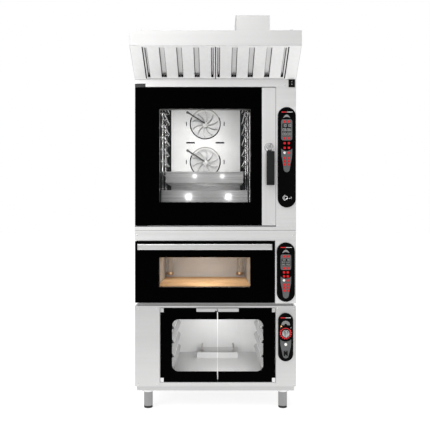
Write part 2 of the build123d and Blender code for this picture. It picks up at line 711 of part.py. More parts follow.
deck_lamps_x = (deck_x[0] + 36, deck_x[1] - 44)
lamp_y = deck_chamber_back - 40
with BuildPart() as oven_lamps:
    for x in deck_lamps_x:
        rod((x, lamp_y, stone_top + 26), (x, lamp_y, deck_chamber_z[1] - seam), 20)
        rod((x, lamp_y, stone_top + 20), (x, lamp_y, stone_top + 26 - seam), 23)
    lamp_x = sum(combi_x) / 2
    rod((lamp_x, body + 90, combi_chamber_z[1] - 18), (lamp_x, body + 90, combi_chamber_z[1] - seam), 34)
finish(oven_lamps, "oven_lamps")

# ---------------------------------------------------------------- control panels
panel_thick = 8.0
panel_y = (face - panel_thick, face - seam)
combi_panel_x = (354.7, 457.5)
combi_panel_z = (combi_z + 131, combi_z + 703)
deck_panel_x = (349.5, 452.5)
deck_panel_z = (deck_z + 13.4, deck_z + 351.4)
prover_panel = (357.0, 443.0)
prover_panel_z = (prover_z + 145, prover_z + 420)
button_radius = 7.0
button_play = 0.3
pocket_depth = 6.2
key_side = 12.0
key_pitch = 24.0
inlay = 0.8


def button_pocket(x, z, radius, low):
    """Cuts a blind pocket for a push button into a panel's front."""
    rod((x, low - 3, z), (x, low + pocket_depth, z), radius, Mode.SUBTRACT)


combi_keys_x = (combi_panel_x[0] + 39, combi_panel_x[0] + 39 + key_pitch)
combi_button_z = combi_z + 442
deck_keys_x = (deck_panel_x[0] + 41, deck_panel_x[0] + 62)
deck_button_z = deck_z + 135.5
with BuildPart() as combi_control_panel:
    stadium(combi_panel_x, panel_y, combi_panel_z)
    button_pocket(combi_keys_x[0], combi_button_z, button_radius + button_play, panel_y[0])
finish(combi_control_panel, "combi_control_panel")

with BuildPart() as deck_control_panel:
    stadium(deck_panel_x, panel_y, deck_panel_z)
    button_pocket(deck_keys_x[0], deck_button_z, button_radius + button_play, panel_y[0])
finish(deck_control_panel, "deck_control_panel")

knob_x = sum(prover_panel) / 2
knob_z = prover_z + 305.5
knob_radius = 22.0
light_z = prover_z + 241.5
light_radius = 8.5
rocker_z = prover_z + 191
rocker_size = (20.0, 6.0, 27.0)
rocker_pivot_y = panel_y[0] + 2.5
trunnion = 1.0


def trunnions(x, y, z, reach, radius, mode=Mode.ADD):
    """Adds or cuts a rocker's level pivot, which reaches as far to both sides."""
    rod((x - reach, y, z), (x + reach, y, z), radius, mode)


with BuildPart() as prover_control_panel:
    stadium(prover_panel, panel_y, prover_panel_z)
    button_pocket(knob_x, knob_z, 3 + pin_play, panel_y[0])
    button_pocket(knob_x, light_z, light_radius + button_play, panel_y[0])
    slab(
        (knob_x - rocker_size[0] / 2 - 0.5, knob_x + rocker_size[0] / 2 + 0.5),
        (panel_y[0] - 1, panel_y[0] + pocket_depth),
        (rocker_z - rocker_size[2] / 2 - 0.7, rocker_z + rocker_size[2] / 2 + 0.7),
        Mode.SUBTRACT,
    )
    trunnions(knob_x, rocker_pivot_y, rocker_z, rocker_size[0] / 2 + 2.2, trunnion + pin_play, Mode.SUBTRACT)
finish(prover_control_panel, "prover_control_panel")


def push_button(name, x, z, radius):
    """Writes a round push button that stands 3 mm proud of its panel."""
    with BuildPart() as button:
        rod((x, panel_y[0] - 3, z), (x, panel_y[0] + 4, z), radius)
        chamfer(button.edges().filter_by(GeomType.CIRCLE).group_by(Axis.Y)[0], 1)
    finish(button, name)


push_button("combi_power_button", combi_keys_x[0], combi_button_z, button_radius)
push_button("deck_power_button", deck_keys_x[0], deck_button_z, button_radius)
push_button("prover_light_button", knob_x, light_z, light_radius)

with BuildPart() as prover_knob:
    rod((knob_x, panel_y[0] - 24, knob_z), (knob_x, panel_y[0] - 1.2, knob_z), knob_radius)
    chamfer(prover_knob.edges().filter_by(GeomType.CIRCLE).group_by(Axis.Y)[0], 2)
    for side in (-1, 1):
        cut_x = sorted((knob_x + side * 5, knob_x + side * (knob_radius + 1)))
        slab(cut_x, (panel_y[0] - 25, panel_y[0] - 10), (knob_z - 30, knob_z + 30), Mode.SUBTRACT)
    rod((knob_x, panel_y[0] - 2, knob_z), (knob_x, panel_y[0] + 5, knob_z), 3)
finish(prover_knob, "prover_knob")

with BuildPart() as prover_rocker:
    rocker_front = panel_y[0] - 2
    slab(
        (knob_x - rocker_size[0] / 2, knob_x + rocker_size[0] / 2),
        (rocker_front, rocker_front + rocker_size[1]),
        (rocker_z - rocker_size[2] / 2, rocker_z + rocker_size[2] / 2),
    )
    dish = 60.0
    with Locations(Location((knob_x, rocker_front - dish + 1.2, rocker_z), (0, 90, 0))):
        Cylinder(dish, rocker_size[0] + 2, mode=Mode.SUBTRACT)
    trunnions(knob_x, rocker_pivot_y, rocker_z, rocker_size[0] / 2 + 1.7, trunnion)
finish(prover_rocker, "prover_rocker")


inlay_y = (panel_y[0] - 0.1 - inlay, panel_y[0] - 0.1)
combi_mid = sum(combi_keys_x) / 2
deck_mid = sum(deck_keys_x) / 2
combi_display_z = (combi_z + 513, combi_z + 633)
deck_display_z = (deck_z + 195, deck_z + 283)


def shield(centre_x, top_z, shield_width, height):
    """Adds a grey inlay that is hollow along its top and comes to a round point below."""
    w, h = shield_width / 2, height
    right = [(w, 0), (w * 0.95, -h * 0.34), (w * 0.62, -h * 0.76), (0, -h)]
    left = [(-x, z) for x, z in reversed(right)]
    with BuildSketch(Plane.XZ.offset(-inlay_y[1])) as outline:
        with BuildLine():
            ThreePointArc((-w, 0), (0, -w * 0.42), (w, 0))
            Spline(*right, tangents=((0, -1), (-1, 0)))
            Spline(*left, tangents=((-1, 0), (0, 1)))
        make_face()
    extrude(outline.sketch.moved(Location((centre_x, 0, top_z))), amount=inlay)


with BuildPart() as panel_inlays:
    rounded_slab((combi_mid - 31.5, combi_mid + 31.5), inlay_y, combi_display_z, 12)
    rounded_slab((deck_mid - 30, deck_mid + 30), inlay_y, deck_display_z, 10)
    shield(combi_mid, combi_z + 466, 63, 134)
    shield(deck_mid, deck_z + 158, 60, 125)
    shield(knob_x, knob_z - 35, 62, 108)
    for x, z in ((combi_keys_x[0], combi_button_z), (deck_keys_x[0], deck_button_z)):
        rod((x, inlay_y[0] - 1, z), (x, inlay_y[1] + 0.05, z), button_radius + 1, Mode.SUBTRACT)
    around_light = (knob_x, inlay_y[0] - 1, light_z), (knob_x, inlay_y[1] + 0.05, light_z)
    rod(*around_light, light_radius + 1, Mode.SUBTRACT)
    slab(
        (knob_x - rocker_size[0] / 2 - 1.5, knob_x + rocker_size[0] / 2 + 1.5),
        (inlay_y[0] - 1, inlay_y[1] + 0.05),
        (rocker_z - rocker_size[2] / 2 - 1.5, rocker_z + rocker_size[2] / 2 + 1.5),
        Mode.SUBTRACT,
    )
finish(panel_inlays, "panel_inlays")

# heights of the rows of keys above each oven's base: the middle two lie between the inlays
combi_rows = (620.0, 525.0, 497.0, 470.5, 442.0, 412.0, 394.0, 376.0)
deck_rows = (272.0, 205.0, 181.0, 158.5, 135.5, 111.0, 94.0, 77.0)
with BuildPart() as keypad_keys:
    for base, xs, rows, button_z in (
        (combi_z, combi_keys_x, combi_rows, combi_button_z),
        (deck_z, deck_keys_x, deck_rows, deck_button_z),
    ):
        for row, height in enumerate(rows):
            z = base + height
            back_y = panel_y[0] - 0.1 if row in (2, 3) else inlay_y[0] - 0.1
            for x in xs:
                if z == button_z and x == xs[0]:
                    continue
                rounded_slab(
                    (x - key_side / 2, x + key_side / 2),
                    (inlay_y[0] - 1.2, back_y),
                    (z - key_side / 2, z + key_side / 2),
                    2.5,
                )
finish(keypad_keys, "keypad_keys")

# ---------------------------------------------------------------- hood
slope = math.atan2(hood_rise, hood_reach)
slope_length = math.hypot(hood_rise, hood_reach)
slope_plane = Plane(
    origin=(0, face, combi_top), x_dir=(1, 0, 0), z_dir=(0, -math.sin(slope), -math.cos(slope))
)
filter_x = ((-391.0, -3.0), (3.0, 391.0))
filter_v = (10.0, slope_length - 9)
filter_depth = 20.0
duct_x = (125.0, 327.0)
duct_y = (face + 175, face + 377)


def sloped_slab(u, v, w, mode=Mode.ADD):
    """Adds a block on the hood's slope: u across, v up the slope, w outward from it."""
    with BuildSketch(slope_plane.offset(w[0])) as outline:
        with Locations(((u[0] + u[1]) / 2, (v[0] + v[1]) / 2)):
            Rectangle(u[1] - u[0], v[1] - v[0])
    extrude(outline.sketch, amount=w[1] - w[0], mode=mode)


with BuildPart() as hood_shell:
    for side in (-1, 1):
        edge = side * half if side > 0 else side * half + sheet
        with BuildSketch(Plane.YZ.offset(edge)) as cheek:
            with BuildLine():
                Polyline(
                    (face, combi_top),
                    (back, combi_top),
                    (back, hood_top),
                    (hood_front, hood_top),
                    (hood_front, hood_lip),
                    close=True,
                )
            make_face()
        extrude(cheek.sketch, amount=-sheet)
    slab((-inside, inside), (hood_front, hood_front + sheet), (hood_lip, hood_top))
    slab((-inside, inside), (back - sheet, back), (combi_top + 2 * sheet, hood_top))
    slab((-inside, inside), (hood_front + sheet + seam, back - sheet - seam), (hood_top - sheet, hood_top))
    slab(
        (duct_x[0] + sheet, duct_x[1] - sheet),
        (duct_y[0] + sheet, duct_y[1] - sheet),
        (hood_top - 5, hood_top + 5),
        Mode.SUBTRACT,
    )
    slab((-inside, inside), (face + 20, back - sheet - seam), (combi_top, combi_top + sheet))
finish(hood_shell, "hood_shell")

with BuildPart() as hood_filter_frame:
    sloped_slab((-inside, inside), (2, slope_length - sheet), (-sheet, 0))
    for u in filter_x:
        pocket = (u[0] - sheet, u[1] + sheet)
        sloped_slab(pocket, (filter_v[0] - sheet, filter_v[1] + sheet), (-filter_depth - 4, -sheet / 2))
        sloped_slab(u, filter_v, (-filter_depth - 2, 1), Mode.SUBTRACT)
        sloped_slab(
            (u[0] + ledge, u[1] - ledge),
            (filter_v[0] + ledge, filter_v[1] - ledge),
            (-filter_depth - 6, 1),
            Mode.SUBTRACT,
        )
finish(hood_filter_frame, "hood_filter_frame")

rail = 6.0
baffle_count = 4
baffle_gap = 30.0
baffle_sheet = 1.2
for name, u in (("hood_filter_left", filter_x[0]), ("hood_filter_right", filter_x[1])):
    outer_u = (u[0] + fit_gap, u[1] - fit_gap)
    outer_v = (filter_v[0] + fit_gap, filter_v[1] - fit_gap)
    depth_w = (-filter_depth - fit_gap, -fit_gap)
    inner_v = (outer_v[0] + rail + seam, outer_v[1] - rail - seam)
    clear = outer_u[1] - outer_u[0] - 2 * rail
    strip = (clear - baffle_gap * baffle_count) / baffle_count
    with BuildPart() as baffle_filter:
        for v in ((outer_v[0], outer_v[0] + rail), (outer_v[1] - rail, outer_v[1])):
            sloped_slab(outer_u, v, depth_w)
        for side_u in ((outer_u[0], outer_u[0] + rail), (outer_u[1] - rail, outer_u[1])):
            sloped_slab(side_u, inner_v, depth_w)
        for i in range(baffle_count):
            start = outer_u[0] + rail + baffle_gap / 2 + i * (strip + baffle_gap)
            sloped_slab((start, start + strip), inner_v, (depth_w[1] - 8, depth_w[1]))
            sloped_slab(
                (start + baffle_sheet, start + strip - baffle_sheet),
                (inner_v[0] - seam / 2, inner_v[1] + seam / 2),
                (depth_w[1] - 9, depth_w[1] - baffle_sheet),
                Mode.SUBTRACT,
            )
        for i in range(baffle_count + 1):
            middle = outer_u[0] + rail + i * (strip + baffle_gap)
            reach = baffle_gap / 2 + 8
            low, high = outer_u[0] + rail + seam, outer_u[1] - rail - seam
            span = (max(middle - reach, low), min(middle + reach, high))
            sloped_slab(span, inner_v, (depth_w[0], depth_w[0] + baffle_sheet))
    finish(baffle_filter, name)

with BuildPart() as hood_duct:
    slab(duct_x, duct_y, (hood_top + seam, hood_top + duct_height))
    slab(
        (duct_x[0] + sheet, duct_x[1] - sheet),
        (duct_y[0] + sheet, duct_y[1] - sheet),
        (hood_top, hood_top + duct_height + 1),
        Mode.SUBTRACT,
    )
finish(hood_duct, "hood_duct")

duct_mid = (sum(duct_x) / 2, sum(duct_y) / 2)
wheel_z = (combi_top + 96, combi_top + 150)
wheel_radius = 82.0
with BuildPart() as hood_fan_motor:
    floor_z = combi_top + sheet + seam
    rod((*duct_mid, floor_z), (*duct_mid, floor_z + 5), 70)
    rod((*duct_mid, floor_z + 4), (*duct_mid, wheel_z[0] - 8), 48)
    rod((*duct_mid, wheel_z[0] - 60), (*duct_mid, wheel_z[0]), 5 + pin_play, Mode.SUBTRACT)
finish(hood_fan_motor, "hood_fan_motor")

vane_count = 16
with BuildPart() as hood_fan_wheel:
    rod((*duct_mid, wheel_z[0]), (*duct_mid, wheel_z[0] + 3), wheel_radius)
    rod((*duct_mid, wheel_z[0] - 55), (*duct_mid, wheel_z[0] + 24), 5)
    rod((*duct_mid, wheel_z[0] + 2), (*duct_mid, wheel_z[0] + 24), 16)
    with Locations(Location((*duct_mid, 0))):
        with PolarLocations(wheel_radius - 14, vane_count):
            with Locations(Location((0, 0, sum(wheel_z) / 2), (0, 0, 35))):
                Box(24, 1.6, wheel_z[1] - wheel_z[0])
    rod((*duct_mid, wheel_z[1] - 2), (*duct_mid, wheel_z[1]), wheel_radius)
    rod((*duct_mid, wheel_z[1] - 3), (*duct_mid, wheel_z[1] + 1), wheel_radius - 22, Mode.SUBTRACT)
finish(hood_fan_wheel, "hood_fan_wheel")

bezel_y = (face - 5, face - seam)
rocker_x = (switch_x[0] + 7, switch_x[1] - 7)
hood_rocker_z = (switch_z[0] + 8, switch_z[1] - 8)
with BuildPart() as hood_switch_housing:
    slab(switch_x, bezel_y, switch_z)
    slab(
        (switch_x[0] + switch_body, switch_x[1] - switch_body),
        (bezel_y[1] - 1, face + 26),
        (switch_z[0] + 2 * switch_body, switch_z[1] - 2 * switch_body),
    )
    slab(
        (rocker_x[0] - 0.5, rocker_x[1] + 0.5),
        (bezel_y[0] - 1, face + 6),
        (hood_rocker_z[0] - 1, hood_rocker_z[1] + 1),
        Mode.SUBTRACT,
    )
    pivot = (sum(rocker_x) / 2, face - 2, sum(hood_rocker_z) / 2)
    half_rocker = (rocker_x[1] - rocker_x[0]) / 2
    trunnions(*pivot, half_rocker + 2.2, trunnion + pin_play, Mode.SUBTRACT)
finish(hood_switch_housing, "hood_switch_housing")

hood_rocker_y = (face - 8, face + 1)
with BuildPart() as hood_switch_rocker:
    slab(rocker_x, hood_rocker_y, hood_rocker_z)
    dish_centre = (sum(rocker_x) / 2, hood_rocker_y[0] - dish + 1.4, sum(hood_rocker_z) / 2)
    with Locations(Location(dish_centre, (0, 90, 0))):
        Cylinder(dish, rocker_size[0] + 12, mode=Mode.SUBTRACT)
    trunnions(*pivot, half_rocker + 1.7, trunnion)
finish(hood_switch_rocker, "hood_switch_rocker")

# ---------------------------------------------------------------- rear pipes and glands, fasteners
inlet_x, inlet_z = -300.0, combi_z + 120
drain_x, drain_z = -65.0, combi_z + 60
gland_x = 400.0
with BuildPart() as rear_fittings:
    rod((inlet_x, back, inlet_z), (inlet_x, back + 5, inlet_z), 20)
    rod((inlet_x, back + 4, inlet_z), (inlet_x, back + 28, inlet_z), 13.2)
    rod((inlet_x, back - 1, inlet_z), (inlet_x, back + 30, inlet_z), 9, Mode.SUBTRACT)
    rod((drain_x, back, drain_z), (drain_x, back + rear_stub, drain_z), 16)
    rod((drain_x, back - 1, drain_z), (drain_x, back + rear_stub + 1, drain_z), 14, Mode.SUBTRACT)
    for z in (prover_z + 60, deck_z + 80, combi_z + 80):
        rod((gland_x, back, z), (gland_x, back + 8, z), 15)
        rod((gland_x, back + 7, z), (gland_x, back + 22, z), 12)
        rod((gland_x, back - 1, z), (gland_x, back + 23, z), 6, Mode.SUBTRACT)
finish(rear_fittings, "rear_fittings")

with BuildPart() as fasteners:
    for x in (-404, 404):  # lifting bolts on the hood
        for y in (hood_front + 60, back - 60):
            with BuildSketch(Plane.XY.offset(hood_top)) as head:
                with Locations((x, y)):
                    RegularPolygon(10, 6)
            extrude(head.sketch, amount=7)
    for x, y in leg_places:  # leg flange bolts
        with BuildSketch(Plane.XY.offset(leg_height - flange_thickness)) as heads:
            with Locations((x, y)):
                with GridLocations(56, 56, 2, 2):
                    RegularPolygon(6, 6)
        extrude(heads.sketch, amount=-7)
    for low, high in ((prover_z, prover_top), (deck_z, deck_top), (combi_z, combi_top)):  # back panel screws
        for x in (-half + 30, 0, half - 30):
            for z in (low + 18, high - 18):
                rod((x, back, z), (x, back + 2.4, z), 5)
finish(fasteners, "fasteners")
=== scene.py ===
"""Dresses the oven tower: finishes, borders, fans, panels, lights and camera. Metres, +Z up, front at -Y."""

from __future__ import annotations

import json
import logging
import math
from dataclasses import dataclass
from enum import Enum
from typing import Any, Iterable, Sequence

import bmesh
import bpy
from mathutils import Euler, Matrix, Vector

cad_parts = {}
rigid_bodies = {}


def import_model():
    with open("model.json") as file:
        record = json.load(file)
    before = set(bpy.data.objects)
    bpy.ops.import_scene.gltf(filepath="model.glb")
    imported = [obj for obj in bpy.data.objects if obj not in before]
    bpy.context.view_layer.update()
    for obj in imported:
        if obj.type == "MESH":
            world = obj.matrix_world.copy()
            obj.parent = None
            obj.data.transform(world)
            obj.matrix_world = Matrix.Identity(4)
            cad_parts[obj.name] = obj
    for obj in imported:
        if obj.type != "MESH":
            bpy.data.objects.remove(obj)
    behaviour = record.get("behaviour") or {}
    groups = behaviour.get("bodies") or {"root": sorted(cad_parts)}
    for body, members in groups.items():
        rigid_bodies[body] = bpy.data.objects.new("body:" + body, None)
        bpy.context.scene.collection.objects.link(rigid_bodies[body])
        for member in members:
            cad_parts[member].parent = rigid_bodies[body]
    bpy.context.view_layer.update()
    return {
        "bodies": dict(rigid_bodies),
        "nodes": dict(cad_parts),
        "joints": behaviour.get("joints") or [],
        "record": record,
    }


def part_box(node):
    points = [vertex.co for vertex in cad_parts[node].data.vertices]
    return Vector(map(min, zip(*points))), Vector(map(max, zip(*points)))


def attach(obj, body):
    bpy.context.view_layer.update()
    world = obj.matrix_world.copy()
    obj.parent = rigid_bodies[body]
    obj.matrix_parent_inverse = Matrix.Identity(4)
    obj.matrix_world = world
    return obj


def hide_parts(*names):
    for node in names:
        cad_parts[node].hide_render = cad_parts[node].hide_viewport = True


log = logging.getLogger("oven tower")
Outline = list[tuple[float, float]]
Span = tuple[float, float]
Place = tuple[float, float, float]
FORWARD: Place = (0, -1, 0)
UP: Place = (0, 0, 1)


# ------------------------------------------------------------------ shader building
class Signal:
    """A shader socket that can be used in Python arithmetic."""

    def __init__(self, shader: Shader, socket: bpy.types.NodeSocket) -> None:
        """Wraps a socket.

        Args:
            shader: the shader that owns the socket.
            socket: the output to wrap.
        """
        self.shader, self.socket = shader, socket

    def _math(self, operation: str, a: Any, b: Any) -> Signal:
        """Returns a Math node's output for two values or signals."""
        return self.shader.node("ShaderNodeMath", {"operation": operation}, {0: a, 1: b})

    def __add__(self, other: Any) -> Signal:
        """Adds."""
        return self._math("ADD", self, other)

    def __radd__(self, other: Any) -> Signal:
        """Adds to a number."""
        return self._math("ADD", other, self)

    def __mul__(self, other: Any) -> Signal:
        """Multiplies."""
        return self._math("MULTIPLY", self, other)

    def __rmul__(self, other: Any) -> Signal:
        """Multiplies a number."""
        return self._math("MULTIPLY", other, self)


class Shader:
    """The node tree of one material or world, with short calls for what the finishes need."""

    def __init__(self, owner: bpy.types.Material | bpy.types.World) -> None:
        """Empties the owner's node tree.

        Args:
            owner: a new material or world.
        """
        owner.use_nodes = True
        self.owner, self.tree = owner, owner.node_tree
        self.tree.nodes.clear()

    @classmethod
    def named(cls, name: str) -> Shader:
        """Returns the shader of a new material."""
        return cls(bpy.data.materials.new(name))

    def node(
        self, kind: str, settings: dict[str, Any], inputs: dict[Any, Any], output: Any = 0
    ) -> Signal | None:
        """Adds a node.

        Args:
            kind: the node's type.
            settings: its properties, set first.
            inputs: values or signals for its sockets, by name or number.
            output: which output to return.

        Returns:
            The chosen output, or nothing for the node that closes a tree.
        """
        made = self.tree.nodes.new(kind)
        for key, value in settings.items():
            setattr(made, key, value)
        for key, value in inputs.items():
            if isinstance(value, Signal):
                self.tree.links.new(value.socket, made.inputs[key])
            else:
                made.inputs[key].default_value = value
        return Signal(self, made.outputs[output]) if len(made.outputs) else None

    def stretched(self, scale: Sequence[float]) -> Signal:
        """Returns object coordinates multiplied by a vector."""
        place = self.node("ShaderNodeTexCoord", {}, {}, "Object")
        return self.node("ShaderNodeVectorMath", {"operation": "MULTIPLY"}, {0: place, 1: tuple(scale)})

    def noise(self, scale: Sequence[float], detail: float = 3.0) -> Signal:
        """Returns noise from 0 to 1 with its own frequency along each axis."""
        place = self.stretched(scale)
        return self.node("ShaderNodeTexNoise", {}, {"Vector": place, "Scale": 1.0, "Detail": detail})

    def between(self, value: Signal, low: float, high: float, to_low: float, to_high: float) -> Signal:
        """Maps one range of a value to another, held at the ends."""
        return self.node(
            "ShaderNodeMapRange",
            {"clamp": True},
            {"Value": value, "From Min": low, "From Max": high, "To Min": to_low, "To Max": to_high},
        )

    def blend(self, mask: Signal, first: Sequence[float], second: Sequence[float]) -> Signal:
        """Mixes two colours by a mask."""
        return self.node(
            "ShaderNodeMix",
            {"data_type": "RGBA"},
            {0: mask, 6: (*first[:3], 1.0), 7: (*second[:3], 1.0)},
            2,
        )

    def relief(self, height: Signal, depth: float, strength: float = 1.0) -> Signal:
        """Returns a bumped normal for a height signal.

        Args:
            height: the height signal.
            depth: its depth in metres.
            strength: how much of it shows.

        Returns:
            The normal.
        """
        return self.node("ShaderNodeBump", {}, {"Height": height, "Distance": depth, "Strength": strength})

    def surface(self, inputs: dict[str, Any]) -> bpy.types.Material:
        """Closes a material with a Principled surface.

        Args:
            inputs: values or signals for the surface's sockets.

        Returns:
            The material.
        """
        skin = self.node("ShaderNodeBsdfPrincipled", {}, inputs)
        self.node("ShaderNodeOutputMaterial", {}, {"Surface": skin})
        return self.owner


# ------------------------------------------------------------------ finishes
class Grain(Enum):
    """The way a sheet was brushed, as the noise frequency along X, Y and Z."""

    ACROSS = (1.6, 900.0, 900.0)
    UPRIGHT = (900.0, 900.0, 1.6)
    DEEP = (900.0, 1.6, 900.0)

    def streaks(self) -> list[float]:
        """Returns the wider streaks' frequency along each axis."""
        return [f * 0.06 if f > 10 else 0.9 for f in self.value]


@dataclass(frozen=True)
class BrushedSteel:
    """Satin stainless sheet with a fine one-way grain, faint streaks and a slight cloudiness."""

    name: str
    tone: float = 0.72
    rough: float = 0.36
    grain: Grain = Grain.ACROSS
    metal: float = 0.88
    specular: float = 0.5

    def make(self) -> bpy.types.Material:
        """Builds the node tree.

        Returns:
            The material.
        """
        s = Shader.named(self.name)
        fine = s.noise(self.grain.value, 2.0)
        streak = s.noise(self.grain.streaks(), 4.0)
        cloud = s.noise((3.1, 3.1, 3.1), 2.0)
        shade = fine * 0.05 + streak * 0.12 + cloud * 0.10
        mask = s.between(shade, 0.08, 0.19, 0.0, 1.0)
        dark = [self.tone * k for k in (0.95, 0.945, 0.94)]
        light = [self.tone * k for k in (1.03, 1.03, 1.025)]
        return s.surface(
            {
                "Base Color": s.blend(mask, dark, light),
                "Metallic": self.metal,
                "Specular IOR Level": self.specular,
                "Roughness": s.between(streak + fine, 0.7, 1.3, self.rough - 0.05, self.rough + 0.06),
                "Normal": s.relief(fine, 0.0001, 0.12),
            }
        )


@dataclass(frozen=True)
class PolishedSteel:
    """Bright polished metal with faint swirl marks and a fingerprint haze."""

    name: str
    tone: float = 0.80
    rough: float = 0.12

    def make(self) -> bpy.types.Material:
        """Builds the node tree.

        Returns:
            The material.
        """
        s = Shader.named(self.name)
        haze = s.noise((22.0, 22.0, 22.0), 5.0)
        swirl = s.noise((260.0, 260.0, 260.0), 1.0)
        return s.surface(
            {
                "Base Color": s.blend(haze, [self.tone * 0.94] * 3, [self.tone] * 3),
                "Metallic": 1.0,
                "Roughness": s.between(haze * 0.7 + swirl * 0.3, 0.3, 0.7, self.rough, self.rough + 0.10),
                "Normal": s.relief(swirl, 0.0001, 0.05),
            }
        )


@dataclass(frozen=True)
class HeatedMetal:
    """Metal that heat has stained in soft patches."""

    name: str
    cool: tuple[float, float, float]
    hot: tuple[float, float, float]
    rough: float = 0.45
    metal: float = 0.9

    def make(self) -> bpy.types.Material:
        """Builds the node tree.

        Returns:
            The material.
        """
        s = Shader.named(self.name)
        patch = s.noise((14.0, 14.0, 14.0), 5.0)
        speck = s.noise((420.0, 420.0, 420.0), 2.0)
        return s.surface(
            {
                "Base Color": s.blend(s.between(patch, 0.35, 0.65, 0.0, 1.0), self.cool, self.hot),
                "Metallic": self.metal,
                "Roughness": s.between(patch + speck * 0.4, 0.4, 1.0, self.rough - 0.08, self.rough + 0.12),
                "Normal": s.relief(speck, 0.0002, 0.15),
            }
        )


@dataclass(frozen=True)
class Moulded:
    """Moulded plastic, rubber or enamel with a fine skin texture and light dust in it."""

    name: str
    colour: tuple[float, float, float]
    rough: float = 0.4
    skin: float = 0.1
    specular: float = 0.5
    lift: float = 0.12

    def make(self) -> bpy.types.Material:
        """Builds the node tree.

        Returns:
            The material.
        """
        s = Shader.named(self.name)
        pebble = s.noise((1100.0, 1100.0, 1100.0), 2.0)
        wear = s.noise((34.0, 34.0, 34.0), 4.0)
        worn = [min(1.0, c * (1 + self.lift) + 0.016 * self.lift) for c in self.colour]
        return s.surface(
            {
                "Base Color": s.blend(s.between(wear, 0.4, 0.7, 0.0, 1.0), self.colour, worn),
                "Roughness": s.between(wear + pebble * 0.3, 0.4, 0.9, self.rough - 0.03, self.rough + 0.06),
                "Specular IOR Level": self.specular,
                "Normal": s.relief(pebble, 0.0002, self.skin),
            }
        )


@dataclass(frozen=True)
class PaneGlass:
    """Clear float glass with a faint smear that dulls its shine in places."""

    name: str
    tint: tuple[float, float, float] = (0.02, 0.022, 0.024)
    cover: float = 0.10

    def make(self) -> bpy.types.Material:
        """Builds the node tree.

        Returns:
            The material.
        """
        s = Shader.named(self.name)
        smear = s.noise((5.0, 5.0, 9.0), 5.0)
        material = s.surface(
            {
                "Base Color": (*self.tint, 1.0),
                "Roughness": s.between(smear, 0.4, 0.75, 0.02, 0.09),
                "IOR": 1.5,
                "Alpha": s.between(smear, 0.3, 0.8, self.cover * 0.85, self.cover * 1.15),
            }
        )
        material.surface_render_method = "BLENDED"
        return material


@dataclass(frozen=True)
class FiredStone:
    """A tan baking stone with speckles, faint flour and browned patches."""

    name: str
    pale: tuple[float, float, float] = (0.80, 0.53, 0.27)
    brown: tuple[float, float, float] = (0.60, 0.36, 0.16)

    def make(self) -> bpy.types.Material:
        """Builds the node tree.

        Returns:
            The material.
        """
        s = Shader.named(self.name)
        patch = s.noise((7.0, 7.0, 7.0), 5.0)
        grit = s.noise((520.0, 520.0, 520.0), 3.0)
        mask = s.between(patch * 0.65 + grit * 0.35, 0.36, 0.62, 0.0, 1.0)
        return s.surface(
            {
                "Base Color": s.blend(mask, self.brown, self.pale),
                "Roughness": s.between(grit, 0.3, 0.7, 0.78, 0.92),
                "Normal": s.relief(grit, 0.0006, 0.35),
            }
        )


@dataclass(frozen=True)
class Lit:
    """A printed or back-lit mark; a glow on printed ink is painted light."""

    name: str
    colour: tuple[float, float, float]
    glow: float = 0.0
    rough: float = 0.35

    def make(self) -> bpy.types.Material:
        """Builds the node tree.

        Returns:
            The material.
        """
        s = Shader.named(self.name)
        ink = s.noise((700.0, 700.0, 700.0), 2.0)
        faded = [c * 0.88 for c in self.colour]
        return s.surface(
            {
                "Base Color": s.blend(ink, faded, self.colour),
                "Roughness": s.between(ink, 0.3, 0.7, self.rough, self.rough + 0.1),
                "Emission Color": (*self.colour, 1.0),
                "Emission Strength": self.glow,
            }
        )


@dataclass(frozen=True)
class MineralWool:
    """Matted fibre slabs."""

    name: str

    def make(self) -> bpy.types.Material:
        """Builds the node tree.

        Returns:
            The material.
        """
        s = Shader.named(self.name)
        fibre = s.noise((90.0, 90.0, 260.0), 6.0)
        return s.surface(
            {
                "Base Color": s.blend(fibre, (0.50, 0.44, 0.28), (0.78, 0.74, 0.60)),
                "Roughness": 0.95,
                "Normal": s.relief(fibre, 0.003, 0.8),
            }
        )


